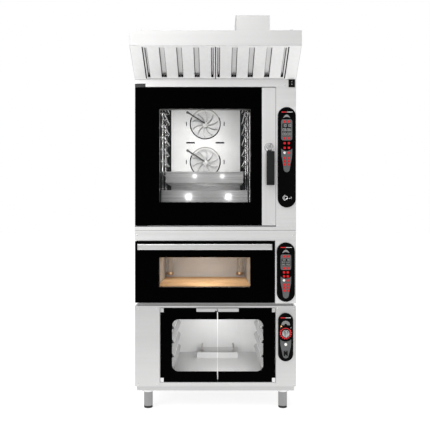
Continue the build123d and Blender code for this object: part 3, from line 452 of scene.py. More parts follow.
class Finish(Enum):
    """Every finish on the tower."""

    BODY = BrushedSteel("body_steel", tone=0.89, metal=0.75)
    # A darker copy of the body steel for the prover's front frame: painted shade on the low front.
    LOWER = BrushedSteel("lower_body_painted_shade_steel", tone=0.66, metal=0.75)
    UPRIGHT = BrushedSteel("upright_grain_steel", tone=0.87, grain=Grain.UPRIGHT, metal=0.75)
    SIDES = BrushedSteel("side_steel", tone=0.58, grain=Grain.UPRIGHT)
    HOOD = BrushedSteel("hood_steel", tone=0.62, rough=0.50, metal=0.55)
    FILTER = BrushedSteel("filter_strip_steel", tone=0.98, rough=0.45, grain=Grain.UPRIGHT, metal=0.20)
    # A dark copy of the steel that paints shade: on the duct's side and round the filters' drains.
    SHADED = BrushedSteel("shaded_steel", tone=0.36, rough=0.5, grain=Grain.UPRIGHT)
    LINER = BrushedSteel("liner_steel", 0.80, 0.5, Grain.UPRIGHT, metal=0.25, specular=0.25)
    # The combi chamber's walls are near black: painted shade and dark reflection on the stainless.
    CHAMBER_SHADE = BrushedSteel("combi_liner_painted_shade", 0.018, 0.6, Grain.DEEP, metal=0.2, specular=0.05)
    PANS = BrushedSteel("pan_steel", tone=0.98, rough=0.26, metal=0.35)
    # A darker copy of the liner steel for the tray guides: painted shade in their folds.
    GUIDES_SHADED = BrushedSteel("prover_guide_painted_shade_steel", tone=0.40, rough=0.18, grain=Grain.DEEP, metal=0.9)
    TRAY = BrushedSteel("water_tray_steel", tone=0.60, rough=0.5, metal=0.25, specular=0.25)
    # Darker than the wheels' own steel so the blades read as lines: painted shade.
    VANES = BrushedSteel("fan_vane_painted_shade_steel", tone=0.55, rough=0.5, metal=0.15)
    BAFFLE = BrushedSteel("fan_wall_steel", 0.90, 0.65, Grain.UPRIGHT, metal=0.05, specular=0.15)
    BAKED_LINER = HeatedMetal("deck_liner_steel", (0.56, 0.555, 0.55), (0.61, 0.605, 0.60), 0.6, 0.4)
    CHROME = PolishedSteel("polished_steel")
    WIRE = PolishedSteel("bright_wire", 0.95, 0.20)
    ALLOY = HeatedMetal("cast_alloy", (0.55, 0.55, 0.54), (0.72, 0.72, 0.71), 0.35, 0.85)
    HEATER = HeatedMetal("heater_sheath", (0.50, 0.48, 0.46), (0.62, 0.58, 0.54), 0.4)
    BRASS = HeatedMetal("lamp_ring_brass", (0.50, 0.34, 0.20), (0.62, 0.44, 0.28), 0.3)
    LEG = PolishedSteel("leg_tube_steel", 0.31, 0.12)
    BOSS = PolishedSteel("boss_chrome", 0.72, 0.05)
    PIPE = PolishedSteel("steam_pipe_steel", 0.10, 0.25)
    BAR = BrushedSteel("bar_steel", tone=0.76, rough=0.34)
    KNOB = PolishedSteel("knob_alloy", 0.52, 0.10)
    HINGE = HeatedMetal("hinge_block_steel", (0.045, 0.045, 0.045), (0.07, 0.07, 0.07), 0.45)
    # Dark strips that paint the shadow lines in the covers' joints and along the filter channels' edges.
    SHADOW_LINES = BrushedSteel("shadow_line_steel", tone=0.10, rough=0.5, grain=Grain.UPRIGHT, metal=0.5)
    CHANNEL = BrushedSteel("filter_channel_steel", tone=0.95, rough=0.5, grain=Grain.UPRIGHT, metal=0.4)
    MOTOR = Moulded("motor_paint", (0.03, 0.03, 0.032), 0.45, 0.2)
    PANE = PaneGlass("pane_glass")
    LAMP = PaneGlass("lamp_glass", (0.75, 0.70, 0.62), 0.35)
    BORDER = Moulded("black_glass_border", (0.0003, 0.0003, 0.00035), 0.06, 0.0, 0.012, 0.01)
    ENAMEL = Moulded("black_enamel", (0.004, 0.004, 0.004), 0.35, 0.05, 0.3)
    PANEL = Moulded("panel_gloss_black", (0.0012, 0.0012, 0.0013), 0.14, 0.0, 0.05, 0.02)
    INLAY = Moulded("inlay_grey", (0.100, 0.103, 0.105), 0.45, 0.15, 0.3)
    KEY = Moulded("key_red", (0.70, 0.006, 0.010), 0.42, 0.1, 0.3)
    KEY_MARK = Moulded("key_mark_maroon", (0.20, 0.004, 0.006), 0.45, 0.1, 0.3)
    BUTTON = Moulded("button_white", (0.88, 0.87, 0.85), 0.3, 0.05)
    GRIP = Moulded("grip_charcoal", (0.010, 0.0115, 0.011), 0.5, 0.3, 0.14)
    SWITCH = Moulded("switch_black", (0.003, 0.003, 0.003), 0.3, 0.15, 0.15, 0.05)
    RUBBER = Moulded("black_rubber", (0.018, 0.018, 0.018), 0.7, 0.4)
    STONE = FiredStone("fired_stone")
    WOOL = MineralWool("mineral_wool")
    # The white and red print glow faintly: painted light on the ink.
    INK_WHITE = Lit("white_print_painted_glow", (0.85, 0.85, 0.85), 0.05)
    INK_RED = Lit("red_print_painted_glow", (0.75, 0.015, 0.02), 0.15)
    INK_GREY = Lit("grey_print", (0.26, 0.26, 0.26))
    SCREEN = Moulded("lcd_screen", (0.012, 0.013, 0.013), 0.12, 0.0, 0.3)
    DIGIT = Lit("lcd_digits", (0.50, 0.51, 0.50), 0.1)
    AMBER = Lit("amber_light", (1.0, 0.45, 0.12), 1.2)
    # Black that paints shadow: in the slots and drains, the joints, beside the knob's bar, and on the fan
    # wall's edges and round its intakes.
    DARK = Moulded("painted_shadow_black", (0.003, 0.003, 0.003), 0.6, 0.0, 0.1)


class Paint:
    """Makes each finish once and puts it on objects."""

    def __init__(self) -> None:
        """Starts with no finish made."""
        self.made: dict[Finish, bpy.types.Material] = {}

    def of(self, finish: Finish) -> bpy.types.Material:
        """Makes a finish's material at its first use.

        Args:
            finish: the finish.

        Returns:
            Its material.
        """
        if finish not in self.made:
            self.made[finish] = finish.value.make()
        return self.made[finish]

    def coat(self, piece: bpy.types.Object, finish: Finish) -> None:
        """Puts one finish on the whole of an object.

        Args:
            piece: the object.
            finish: its finish.
        """
        if not piece.data.materials:
            piece.data.materials.append(None)
        for slot in piece.material_slots:
            slot.link = "OBJECT"
            slot.material = self.of(finish)


# ------------------------------------------------------------------ outlines in the front plane (x, z)
def rounded(x: Span, z: Span, radius: float, steps: int = 8) -> Outline:
    """Returns a rectangle with round corners.

    Args:
        x: left and right.
        z: bottom and top.
        radius: corner radius.
        steps: points to a corner.

    Returns:
        The outline's points.
    """
    corners = ((x[1], z[1], 0), (x[0], z[1], 90), (x[0], z[0], 180), (x[1], z[0], 270))
    points: Outline = []
    for cx, cz, start in corners:
        mx = cx - radius if cx == x[1] else cx + radius
        mz = cz - radius if cz == z[1] else cz + radius
        for i in range(steps + 1):
            a = math.radians(start + 90 * i / steps)
            points.append((mx + radius * math.cos(a), mz + radius * math.sin(a)))
    return points


def circle(cx: float, cz: float, radius: float, count: int = 48) -> Outline:
    """Returns a circle's points."""
    turn = (math.tau * i / count for i in range(count))
    return [(cx + radius * math.cos(a), cz + radius * math.sin(a)) for a in turn]


def band(cx: float, cz: float, radii: Span, degrees: Span, count: int = 24) -> Outline:
    """Returns part of a flat ring.

    Args:
        cx: centre's x.
        cz: centre's z.
        radii: inner and outer radius.
        degrees: start and end angle.
        count: points along each edge.

    Returns:
        The outline's points.
    """
    sweep = [math.radians(degrees[0] + (degrees[1] - degrees[0]) * i / count) for i in range(count + 1)]
    outer = [(cx + radii[1] * math.cos(a), cz + radii[1] * math.sin(a)) for a in sweep]
    inner = [(cx + radii[0] * math.cos(a), cz + radii[0] * math.sin(a)) for a in reversed(sweep)]
    return outer + inner


def box_outline(cx: float, cz: float, w: float, h: float) -> Outline:
    """Returns a small rectangle round a centre."""
    return [(cx + i * w / 2, cz + k * h / 2) for i, k in ((-1, -1), (1, -1), (1, 1), (-1, 1))]


SEGMENTS = {"0": "abcdef", "1": "bc", "2": "abged", "3": "abgcd", "4": "fgbc", "5": "afgcd", "6": "afgedc",
            "7": "abc", "8": "abcdefg", "9": "abcdfg"}


def digit(figure: str, cx: float, cz: float, height: float) -> list[Outline]:
    """Draws one seven-bar figure.

    Args:
        figure: a digit from 0 to 9.
        cx: centre's x.
        cz: centre's z.
        height: the figure's height.

    Returns:
        The lit bars' outlines.
    """
    w, t = height * 0.5, height * 0.11
    bars = {
        "a": (0, height / 2, w, t), "g": (0, 0, w, t), "d": (0, -height / 2, w, t),
        "b": (w / 2, height / 4, t, height / 2), "c": (w / 2, -height / 4, t, height / 2),
        "f": (-w / 2, height / 4, t, height / 2), "e": (-w / 2, -height / 4, t, height / 2),
    }
    lit = (bars[bar] for bar in SEGMENTS[figure])
    return [box_outline(cx + dx, cz + dz, width, tall) for dx, dz, width, tall in lit]


# ------------------------------------------------------------------ pieces
class Bench:
    """Makes meshes and hands each piece to its body and finish."""

    def __init__(self, frame: dict[str, Any], paint: Paint) -> None:
        """Keeps the loaded frame and the finishes.

        Args:
            paint: the finishes.
        """
        self.frame, self.paint = frame, paint
        self.slots = {s["node"]: s["material_slot"] for s in frame["record"]["subparts"]}

    def dress(self, finish: Finish, *nodes: str) -> None:
        """Puts a finish on carried-over nodes.

        Args:
            finish: the finish.
            nodes: the nodes' names.
        """
        for name in nodes:
            self.paint.coat(self.frame["nodes"][name], finish)

    def add(self, name: str, mesh: bpy.types.Mesh, body: str, like: str, finish: Finish,
            stands_for: Iterable[str] = ()) -> bpy.types.Object:
        """Adds a piece to the tower.

        Args:
            name: the piece's name.
            mesh: its mesh.
            body: the body it rides on.
            like: not used.
            finish: its finish.
            stands_for: nodes that it replaces.

        Returns:
            The new object.
        """
        piece = bpy.data.objects.new(name, mesh)
        bpy.context.scene.collection.objects.link(piece)
        self.paint.coat(piece, finish)
        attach(piece, body)
        if stands_for:
            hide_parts(*stands_for)
        log.info("%s: %d faces on %s", name, len(mesh.polygons), body)
        return piece

    @staticmethod
    def mesh(bm: bmesh.types.BMesh, name: str, smooth: bool = False) -> bpy.types.Mesh:
        """Closes a bmesh into a mesh with outward normals.

        Args:
            bm: the bmesh, freed here.
            name: the mesh's name.
            smooth: whether it is shaded smooth.

        Returns:
            The mesh.
        """
        bmesh.ops.recalc_face_normals(bm, faces=bm.faces)
        made = bpy.data.meshes.new(name)
        bm.to_mesh(made)
        bm.free()
        for face in made.polygons:
            face.use_smooth = smooth
        return made

    def plates(self, name: str, outlines: Sequence[Outline], y: Span, holes: Sequence[Outline] = (),
               tilt: Matrix | None = None) -> bpy.types.Mesh:
        """Extrudes outlines between two depths.

        Args:
            name: the mesh's name.
            outlines: separate outlines in the front plane.
            y: front and back depth.
            holes: outlines cut out of the first one.
            tilt: an optional transform.

        Returns:
            The mesh.
        """
        bm = bmesh.new()
        loops = [[outlines[0], *holes], *([o] for o in outlines[1:])]
        for group in loops:
            edges = []
            for points in group:
                ring = [bm.verts.new((px, y[0], pz)) for px, pz in points]
                edges += [bm.edges.new((ring[i], ring[(i + 1) % len(ring)])) for i in range(len(ring))]
            filled = bmesh.ops.triangle_fill(bm, use_beauty=True, use_dissolve=False, edges=edges)
            faces = [g for g in filled["geom"] if isinstance(g, bmesh.types.BMFace)]
            pushed = bmesh.ops.extrude_face_region(bm, geom=faces)
            verts = [g for g in pushed["geom"] if isinstance(g, bmesh.types.BMVert)]
            bmesh.ops.translate(bm, verts=verts, vec=(0, y[1] - y[0], 0))
        if tilt is not None:
            bmesh.ops.transform(bm, matrix=tilt, verts=bm.verts)
        return self.mesh(bm, name)

    def turned(self, name: str, profile: Outline, at: Sequence[float], axis: Sequence[float] = FORWARD,
               count: int = 48) -> bpy.types.Mesh:
        """Turns a profile of (radius, distance along the axis) round an axis.

        Args:
            name: the mesh's name.
            profile: the profile's points.
            at: the axis's start.
            axis: its direction.
            count: sides of the turned piece.

        Returns:
            The mesh.
        """
        bm = bmesh.new()
        rings = [
            [bm.verts.new((px, py, along)) for px, py in circle(0, 0, radius, count)]
            for radius, along in profile
        ]
        for low, high in zip(rings, rings[1:]):
            for i in range(count):
                j = (i + 1) % count
                bm.faces.new((low[i], low[j], high[j], high[i]))
        bmesh.ops.remove_doubles(bm, verts=bm.verts, dist=1e-6)
        turn = Vector(UP).rotation_difference(Vector(axis)).to_matrix().to_4x4()
        bmesh.ops.transform(bm, matrix=Matrix.Translation(at) @ turn, verts=bm.verts)
        made = self.mesh(bm, name, True)
        made.set_sharp_from_angle(angle=math.radians(35))
        return made

    def soft_box(self, name: str, x: Span, y: Span, z: Span, radius: float, steps: int = 3) -> bpy.types.Mesh:
        """Makes a block with rounded edges.

        Args:
            name: the mesh's name.
            x: left and right.
            y: front and back.
            z: bottom and top.
            radius: the edges' radius.
            steps: faces round an edge.

        Returns:
            The mesh.
        """
        bm = bmesh.new()
        bmesh.ops.create_cube(bm, size=1.0)
        for v in bm.verts:
            v.co = Vector((x[v.co.x > 0], y[v.co.y > 0], z[v.co.z > 0]))
        bmesh.ops.bevel(bm, geom=list(bm.edges), offset=radius, segments=steps, profile=0.5, affect="EDGES")
        made = self.mesh(bm, name, True)
        made.set_sharp_from_angle(angle=math.radians(50))
        return made

    def joined(self, name: str, meshes: Sequence[bpy.types.Mesh]) -> bpy.types.Mesh:
        """Puts several meshes in one.

        Args:
            name: the new mesh's name.
            meshes: what it is made of, removed here.

        Returns:
            The mesh.
        """
        bm = bmesh.new()
        for part in meshes:
            bm.from_mesh(part)
            bpy.data.meshes.remove(part)
        made = bpy.data.meshes.new(name)
        bm.to_mesh(made)
        bm.free()
        return made


@dataclass
class Cabinets:
    """The three ovens' sheet metal, chambers and running gear, with screws, painted shadow lines at the cover
    joints and painted highlights along the guides.
    """

    bench: Bench
    screw_radius: float = 0.0035
    guide_width: float = 0.0237
    guide_pitch: float = 0.082
    guide_foot: float = 0.0062
    guides_shaded: int = 4
    # Width and height of each painted highlight strip on the guides.
    lip: Span = (0.0024, 0.0045)
    # Height of the painted shadow line between the covers.
    shadow_line_height: float = 0.0016
    screws: tuple[tuple[float, float], ...] = (
        (0.396, 1.857), (0.401, 0.6135), (-0.44, 0.58), (-0.44, 0.15), (-0.335, 0.58), (-0.335, 0.15),
        (0.449, 0.149), (0.449, 0.585), (0.355, 0.585), (0.355, 0.149), (-0.447, 1.0), (0.447, 1.0),
    )

    def dress(self) -> None:
        """Puts finishes on the carried-over sheet metal and running gear."""
        dress = self.bench.dress
        dress(Finish.SIDES, "prover_casing", "deck_casing", "combi_casing")
        dress(Finish.BODY, "deck_front_frame", "combi_front_frame")
        # The prover's front frame takes the darker body steel: painted shade.
        dress(Finish.LOWER, "prover_front_frame")
        dress(Finish.LEG, "legs")
        dress(Finish.LINER, "prover_cavity")
        # The tray guides take the darker liner steel: painted shade.
        dress(Finish.GUIDES_SHADED, "prover_tray_guides")
        dress(Finish.TRAY, "prover_water_tray")
        # The combi chamber takes the near-black steel: painted shade.
        dress(Finish.CHAMBER_SHADE, "combi_cavity")
        dress(Finish.PANS, "combi_pans")
        dress(Finish.BAFFLE, "combi_fan_baffle")
        dress(Finish.BAKED_LINER, "deck_cavity")
        dress(Finish.STONE, "deck_stone")
        dress(Finish.WIRE, "combi_tray_racks")
        dress(Finish.PIPE, "combi_steam_pipes")
        dress(Finish.HEATER, "heating_elements")
        dress(Finish.LAMP, "oven_lamps")
        dress(Finish.RUBBER, "door_gaskets")
        dress(Finish.WOOL, "insulation")
        dress(Finish.MOTOR, "combi_fan_motors")
        dress(Finish.HINGE, "door_hinge_brackets")
        dress(Finish.CHROME, "fasteners", "rear_fittings")

    def add_screws(self) -> None:
        """Adds the flat countersunk screws of the front covers."""
        r = self.screw_radius
        profile = [(0, 0.0006), (r * 0.8, 0.0006), (r, 0.0002), (r, 0)]
        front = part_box("combi_front_frame")[0].y
        heads = [self.bench.turned("head", profile, (x, front, z), count=20) for x, z in self.screws]
        mesh = self.bench.joined("front_cover_screws", heads)
        self.bench.add("front_cover_screws", mesh, "tower", "fasteners", Finish.CHROME)

    def add_joint_shadows(self) -> None:
        """Adds dark strips where one cover meets the next and beside the door's stile: painted shadow lines
        in the joints.
        """
        (low, high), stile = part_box("combi_front_frame"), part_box("combi_door_stile")
        level = (low.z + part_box("deck_front_frame")[1].z) / 2
        lines = [
            box_outline((low.x + high.x) / 2, level, high.x - low.x - 0.002, self.shadow_line_height),
            rounded((stile[1].x + 0.0002, stile[1].x + 0.0020), (stile[0].z, stile[1].z), 0.0004, 1),
        ]
        mesh = self.bench.plates("shadow_strips", lines, (low.y - 0.00025, low.y + 0.0004))
        self.bench.add("cover_joint_shadows", mesh, "tower", "combi_front_frame", Finish.SHADOW_LINES)

    def add_guide_highlights(self) -> None:
        """Adds bright polished strips along the prover's pressed tray guides: painted highlights on their
        edges.
        """
        low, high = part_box("prover_tray_guides")
        wide, tall = self.lip
        y = (low.y + 0.001, high.y - 0.001)
        levels = [low.z + self.guide_foot + self.guide_pitch * i for i in range(self.guides_shaded)]
        highlight_strips = [
            self.bench.soft_box("lip", (x - wide / 2, x + wide / 2), y, (z, z + tall), 0.0008, 1)
            for x in (low.x + self.guide_width, high.x - self.guide_width)
            for z in levels
        ]
        # The strips take bright polished steel: painted highlights.
        mesh = self.bench.joined("prover_guide_highlights", highlight_strips)
        self.bench.add("prover_guide_highlights", mesh, "tower", "prover_tray_guides", Finish.WIRE)

    def build(self) -> None:
        """Builds and dresses the cabinets."""
        self.dress()
        self.add_screws()
        self.add_joint_shadows()
        self.add_guide_highlights()


@dataclass
class Undercarriage:
    """Leg collars and the levelling feet."""

    bench: Bench
    leg_radius: float = 0.026
    foot_radius: float = 0.025
    collar: float = 0.0045

    def places(self) -> list[tuple[float, float]]:
        """Works out the four legs' centres from the feet's box.

        Returns:
            Each centre's x and y.
        """
        low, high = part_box("levelling_feet")
        r = self.foot_radius
        return [(x, y) for x in (low.x + r, high.x - r) for y in (low.y + r, high.y - r)]

    def build(self) -> None:
        """Builds the collars and feet."""
        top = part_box("legs")[1].z
        r, f = self.leg_radius, self.foot_radius
        lip = r + self.collar
        collar = [(r, -0.016), (lip - 0.001, -0.0155), (lip, -0.013), (lip, -0.0035), (r, -0.0032)]
        pad = [(0, 0), (f * 0.86, 0), (f * 0.97, 0.0008), (f, 0.003), (f, 0.0095), (f * 0.95, 0.0115),
               (f * 0.62, 0.012)]
        stem = [(0.0105, 0.012), (0.0105, 0.0138), (0.006, 0.0139), (0.006, 0.072), (0, 0.072)]
        collars, pads = [], []
        for x, y in self.places():
            collars.append(self.bench.turned("collar", collar, (x, y, top), UP))
            pads.append(self.bench.turned("pad", pad + stem, (x, y, 0), UP))
        mesh = self.bench.joined("leg_collars", collars)
        self.bench.add("leg_collars", mesh, "tower", "legs", Finish.CHROME)
        mesh = self.bench.joined("levelling_feet_turned", pads)
        node = "levelling_feet"
        self.bench.add("levelling_feet_turned", mesh, "feet", node, Finish.RUBBER, [node])


@dataclass
class Pane:
    """One door's clear glass and the black border printed on it round the window."""

    bench: Bench
    door: str
    window: Outline
    inset: float = 0.0005
    standoff: float = 0.00025
    thickness: float = 0.0002
    corner: float = 0.0015

    def build(self) -> None:
        """Dresses the glass and builds the border just ahead of it."""
        glass, border = f"{self.door}_glass", f"{self.door}_border"
        self.bench.dress(Finish.PANE, glass)
        low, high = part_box(glass)
        x, z = ((low[i] + self.inset, high[i] - self.inset) for i in (0, 2))
        y = (low.y - self.standoff, low.y - self.standoff + self.thickness)
        mesh = self.bench.plates(border, [rounded(x, z, self.corner, 3)], y, [self.window])
        self.bench.add(border, mesh, self.door, glass, Finish.BORDER)


@dataclass
class CombiDoor:
    """The large side-hung door: border, stile, boss and grip."""

    bench: Bench
    window_x: Span = (-0.3215, 0.2016)
    window_z: Span = (1.189, 1.723)
    handle: tuple[float, float] = (0.305, 1.500)
    ring_seat: float = -0.2955
    grip_depth: float = 0.014
    rib_pitch: float = 0.006
    ribs: int = 4

    def build(self) -> None:
        """Builds and dresses the door."""
        self.bench.dress(Finish.ENAMEL, "combi_door_core")
        self.bench.dress(Finish.UPRIGHT, "combi_door_stile")
        self.bench.dress(Finish.BOSS, "combi_handle_boss")
        Pane(self.bench, "combi_door", rounded(self.window_x, self.window_z, 0.004, 4)).build()
        self.build_grip()
        self.build_boss()

    def build_grip(self) -> None:
        """Builds the moulded grip, its black back shell and its ribs."""
        body, node = "combi_handle", "combi_handle_grip"
        low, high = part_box(node)
        top, split = high.z - 0.010, low.y + self.grip_depth
        front = self.bench.soft_box("grip", (low.x, high.x), (low.y, split), (low.z, top), 0.0055, 4)
        self.bench.add("combi_grip_front", front, body, node, Finish.GRIP, [node])
        x, z = (low.x + 0.003, high.x - 0.003), (low.z + 0.003, top)
        rear = self.bench.soft_box("grip_rear", x, (split - 0.002, high.y), z, 0.003, 3)
        self.bench.add("combi_grip_rear", rear, body, node, Finish.SWITCH)
        x, y = (low.x + 0.006, high.x - 0.006), (low.y - 0.0006, low.y + 0.001)
        feet = [low.z + 0.012 + self.rib_pitch * i for i in range(self.ribs)]
        ribs = [self.bench.soft_box("rib", x, y, (foot, foot + 0.0016), 0.0004, 1) for foot in feet]
        self.bench.add("combi_grip_ribs", self.bench.joined("combi_grip_ribs", ribs), body, node, Finish.GRIP)

    def build_boss(self) -> None:
        """Builds the polished cap and ring on the handle's pivot."""
        x, z = self.handle
        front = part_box("combi_handle_boss")[0].y
        dome = [(0.0, 0.0062), (0.010, 0.0058), (0.0155, 0.0042), (0.0165, 0.0025), (0.0165, 0.0), (0.0, 0.0)]
        roll = [(0.0232, 0.0), (0.0262, 0.0008), (0.0268, 0.003), (0.0262, 0.0055), (0.0232, 0.006)]
        cap = self.bench.turned("boss_cap", dome, (x, front + 0.0002, z))
        ring = self.bench.turned("boss_ring", roll, (x, self.ring_seat, z))
        mesh = self.bench.joined("combi_boss_trim", [cap, ring])
        self.bench.add("combi_boss_trim", mesh, "combi_handle", "combi_handle_boss", Finish.BOSS)


@dataclass
class ConvectionFans:
    """The two fan wheels, with painted shade on the fan wall: dark arcs round the lower part of the intakes,
    black over the slots and dark strips down its edges.
    """

    bench: Bench
    x: float = -0.068
    levels: tuple[tuple[str, float], ...] = (("lower", 1.470), ("upper", 1.724))
    radius: float = 0.096
    intake: float = 0.102
    # Radial span and sweep of the dark arc painted round each intake as shade.
    lip: Span = (-0.0055, 0.0015)
    shadow_sweep: Span = (155, 385)
    blades: int = 10
    blade_root: float = 0.020
    blade_tip: float = 0.093
    blade_sweep: float = 0.35
    blade_steps: int = 8
    blade_thickness: float = 0.0018
    depth: Span = (0.300, 0.344)
    # Width of the dark strip painted as shade down each edge of the fan wall.
    edge_shadow_width: float = 0.027

    def blade(self, z: float, turn: float) -> Outline:
        """Draws one swept blade's section.

        Args:
            z: the wheel centre's height.
            turn: the blade's angle at its root.

        Returns:
            The outline's points.
        """
        shares = [i / self.blade_steps for i in range(self.blade_steps + 1)]
        reach = self.blade_tip - self.blade_root
        line = [(self.blade_root + reach * t, turn + self.blade_sweep * t**1.5) for t in shares]
        sides = []
        for half in (-self.blade_thickness / 2, self.blade_thickness / 2):
            sides.append([
                (self.x + r * math.cos(a) + half * math.sin(a), z + r * math.sin(a) - half * math.cos(a))
                for r, a in line
            ])
        return sides[0] + sides[1][::-1]

    def build_wheel(self, name: str, z: float) -> None:
        """Builds one wheel.

        Args:
            name: "lower" or "upper".
            z: its centre's height.
        """
        node = f"combi_fan_{name}"
        front, rear = self.depth
        sections = [self.blade(z, math.tau * i / self.blades) for i in range(self.blades)]
        vanes = self.bench.plates("vanes", sections, (front, rear))
        outer, inner, back = (
            circle(self.x, z, r, 72) for r in (self.intake - 0.0008, self.radius - 0.009, self.radius)
        )
        rim = self.bench.plates("rim", [outer], (front - 0.0015, front), [inner])
        disc = self.bench.plates("disc", [back], (rear, rear + 0.002))
        profile = [(0, 0.060), (0.006, 0.0598), (0.0085, 0.0575), (0.0085, 0.052), (0.015, 0.0515),
                   (0.0175, 0.049), (0.0195, 0.0), (0.008, -0.0005), (0.008, -0.080), (0, -0.080)]
        hub = self.bench.turned("hub", profile, (self.x, rear + 0.004, z))
        wheel = self.bench.joined(f"{node}_wheel", [rim, disc, hub])
        self.bench.add(f"{node}_wheel", wheel, f"fan_{name}", node, Finish.BAFFLE, [node])
        # The vanes take a darker copy of the wheel's steel: painted shade.
        self.bench.add(f"{node}_vanes", vanes, f"fan_{name}", node, Finish.VANES)

    def build_intake_shadow(self, name: str, z: float) -> None:
        """Builds a dark arc round the lower part of one intake: painted shade under the intake's rim.

        Args:
            name: "lower" or "upper".
            z: its centre's height.
        """
        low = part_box("combi_fan_baffle")[0].y
        ring = band(self.x, z, (self.intake + self.lip[0], self.intake + self.lip[1]), self.shadow_sweep, 60)
        mesh = self.bench.plates("intake_shadow_arc", [ring], (low - 0.004, low - 0.0003))
        self.bench.add(f"fan_intake_lip_{name}", mesh, "tower", "combi_fan_baffle", Finish.DARK)

    def build_slot_shadows(self) -> None:
        """Lays black strips over the fan wall's narrow air slots: painted shade for the dark fan chamber
        behind them.
        """
        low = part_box("combi_fan_baffle")[0].y
        middle = sum(z for _, z in self.levels) / 2
        slots = [box_outline(self.x + side * 0.098, middle + 0.0025, 0.057, 0.0085) for side in (-1, 1)]
        for _, z in self.levels:
            slots += [box_outline(self.x + side * 0.126, z, 0.0054, 0.030) for side in (-1, 1)]
        mesh = self.bench.plates("slots", slots, (low - 0.0006, low - 0.0001))
        self.bench.add("fan_wall_slot_shadows", mesh, "tower", "combi_fan_baffle", Finish.DARK)

    def build_edge_shadows(self) -> None:
        """Builds dark strips down the fan wall's upright edges: painted shade behind the racks."""
        low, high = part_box("combi_fan_baffle")
        edges = [
            rounded(x, (low.z + 0.002, high.z - 0.002), 0.0004, 1)
            for x in ((low.x + 0.0005, low.x + self.edge_shadow_width), (high.x - self.edge_shadow_width, high.x - 0.0005))
        ]
        mesh = self.bench.plates("edges", edges, (low.y - 0.0005, low.y - 0.0001))
        self.bench.add("fan_wall_edge_shadows", mesh, "tower", "combi_fan_baffle", Finish.DARK)

    def build(self) -> None:
        """Builds both fans, the painted shade round their intakes and over the slots beside them, and the
        painted shade down the wall's edges.
        """
        for name, z in self.levels:
            self.build_wheel(name, z)
            self.build_intake_shadow(name, z)
        self.build_slot_shadows()
        self.build_edge_shadows()


@dataclass
class DeckDoor:
    """The drop-down door of the stone oven."""

    bench: Bench
    window_x: Span = (-0.322, 0.1993)
    window_z: Span = (0.702, 0.874)
    bar_depth: float = 0.014
    cap: float = 0.006
    proud: float = 0.0004

    def build(self) -> None:
        """Builds and dresses the door."""
        self.bench.dress(Finish.ENAMEL, "deck_door_core")
        self.bench.dress(Finish.BAR, "deck_door_handle")
        Pane(self.bench, "deck_door", rounded(self.window_x, self.window_z, 0.006, 5)).build()
        self.build_bar_ends()

    def build_bar_ends(self) -> None:
        """Builds the bar's end caps."""
        low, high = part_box("deck_door_handle")
        y = (low.y - self.proud, low.y + self.bar_depth + self.proud)
        z = (low.z - self.proud, high.z + self.proud)
        ends = ((low.x, low.x + self.cap), (high.x - self.cap, high.x))
        caps = [self.bench.soft_box("cap", x, y, z, 0.0045, 3) for x in ends]
        mesh = self.bench.joined("deck_bar_caps", caps)
        self.bench.add("deck_bar_caps", mesh, "deck_door", "deck_door_handle", Finish.CHROME)


@dataclass
class DeckLamps:
    """The tube lamps' metal rings at the back of the stone oven."""

    bench: Bench
    places: tuple[float, float] = (-0.311, 0.167)
    y: float = 0.375
    base: float = 0.708

    def build(self) -> None:
        """Builds the rings."""
        profile = [(0.0205, 0.019), (0.0245, 0.018), (0.0255, 0.012), (0.0255, 0.002), (0.022, -0.001),
                   (0.0, -0.001)]
        rings = [self.bench.turned("ring", profile, (x, self.y, self.base), UP) for x in self.places]
        mesh = self.bench.joined("deck_lamp_rings", rings)
        self.bench.add("deck_lamp_rings", mesh, "tower", "oven_lamps", Finish.BRASS)


@dataclass
class ProverDoors:
    """The two glass leaves, whose borders share one round-cornered window."""

    bench: Bench
    window_x: Span = (-0.2484, 0.2718)
    window_z: Span = (0.2233, 0.5197)
    radius: float = 0.038
    corner_steps: int = 12
    catch: float = 0.006
    catch_seat: float = -0.2985

    def half_window(self, x: Span, left: bool) -> Outline:
        """Returns the border's outline for one leaf: a frame open at the meeting edge.

        Args:
            x: the leaf's left and right.
            left: whether it is the left leaf.

        Returns:
            A C-shaped outline.
        """
        low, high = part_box("prover_left_door_glass")
        z0, z1 = low.z + 0.0003, high.z - 0.0003
        meet, outer = (x[1], x[0]) if left else (x[0], x[1])
        inner = self.window_x[0] if left else self.window_x[1]
        side, r = (1 if left else -1), self.radius
        points: Outline = [(meet, z1), (outer, z1), (outer, z0), (meet, z0), (meet, self.window_z[0])]
        foot, head = self.window_z
        turns = [math.radians(90 * i / self.corner_steps) for i in range(self.corner_steps + 1)]
        points += [(inner + side * (r - r * math.sin(a)), foot + r - r * math.cos(a)) for a in turns]
        points += [(inner + side * (r - r * math.cos(a)), head - r + r * math.sin(a)) for a in turns]
        points.append((meet, head))
        return points

    def build(self) -> None:
        """Builds and dresses both leaves."""
        for side in ("left", "right"):
            glass, fittings = f"prover_{side}_door_glass", f"prover_{side}_door_fittings"
            self.bench.dress(Finish.PANE, glass)
            self.bench.dress(Finish.CHROME, fittings)
            low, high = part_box(glass)
            front = low.y
            outline = self.half_window((low.x + 0.0003, high.x - 0.0003), side == "left")
            mesh = self.bench.plates("border", [outline], (front - 0.00025, front - 0.00005))
            self.bench.add(f"prover_{side}_door_border", mesh, f"prover_{side}_door", glass, Finish.BORDER)
        self.build_catch()

    def build_catch(self) -> None:
        """Builds the small round catch where the leaves meet."""
        body, node = "prover_left_door", "prover_left_door_fittings"
        x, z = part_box(node)[1].x - 0.001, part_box("prover_right_door_fittings")[1].z - 0.021
        profile = [(0, 0.004), (0.0045, 0.0036), (self.catch, 0.002), (self.catch, 0.0), (0, 0.0)]
        mesh = self.bench.turned("catch", profile, (x - self.catch, self.catch_seat, z), count=24)
        self.bench.add("prover_door_catch", mesh, body, node, Finish.SWITCH)


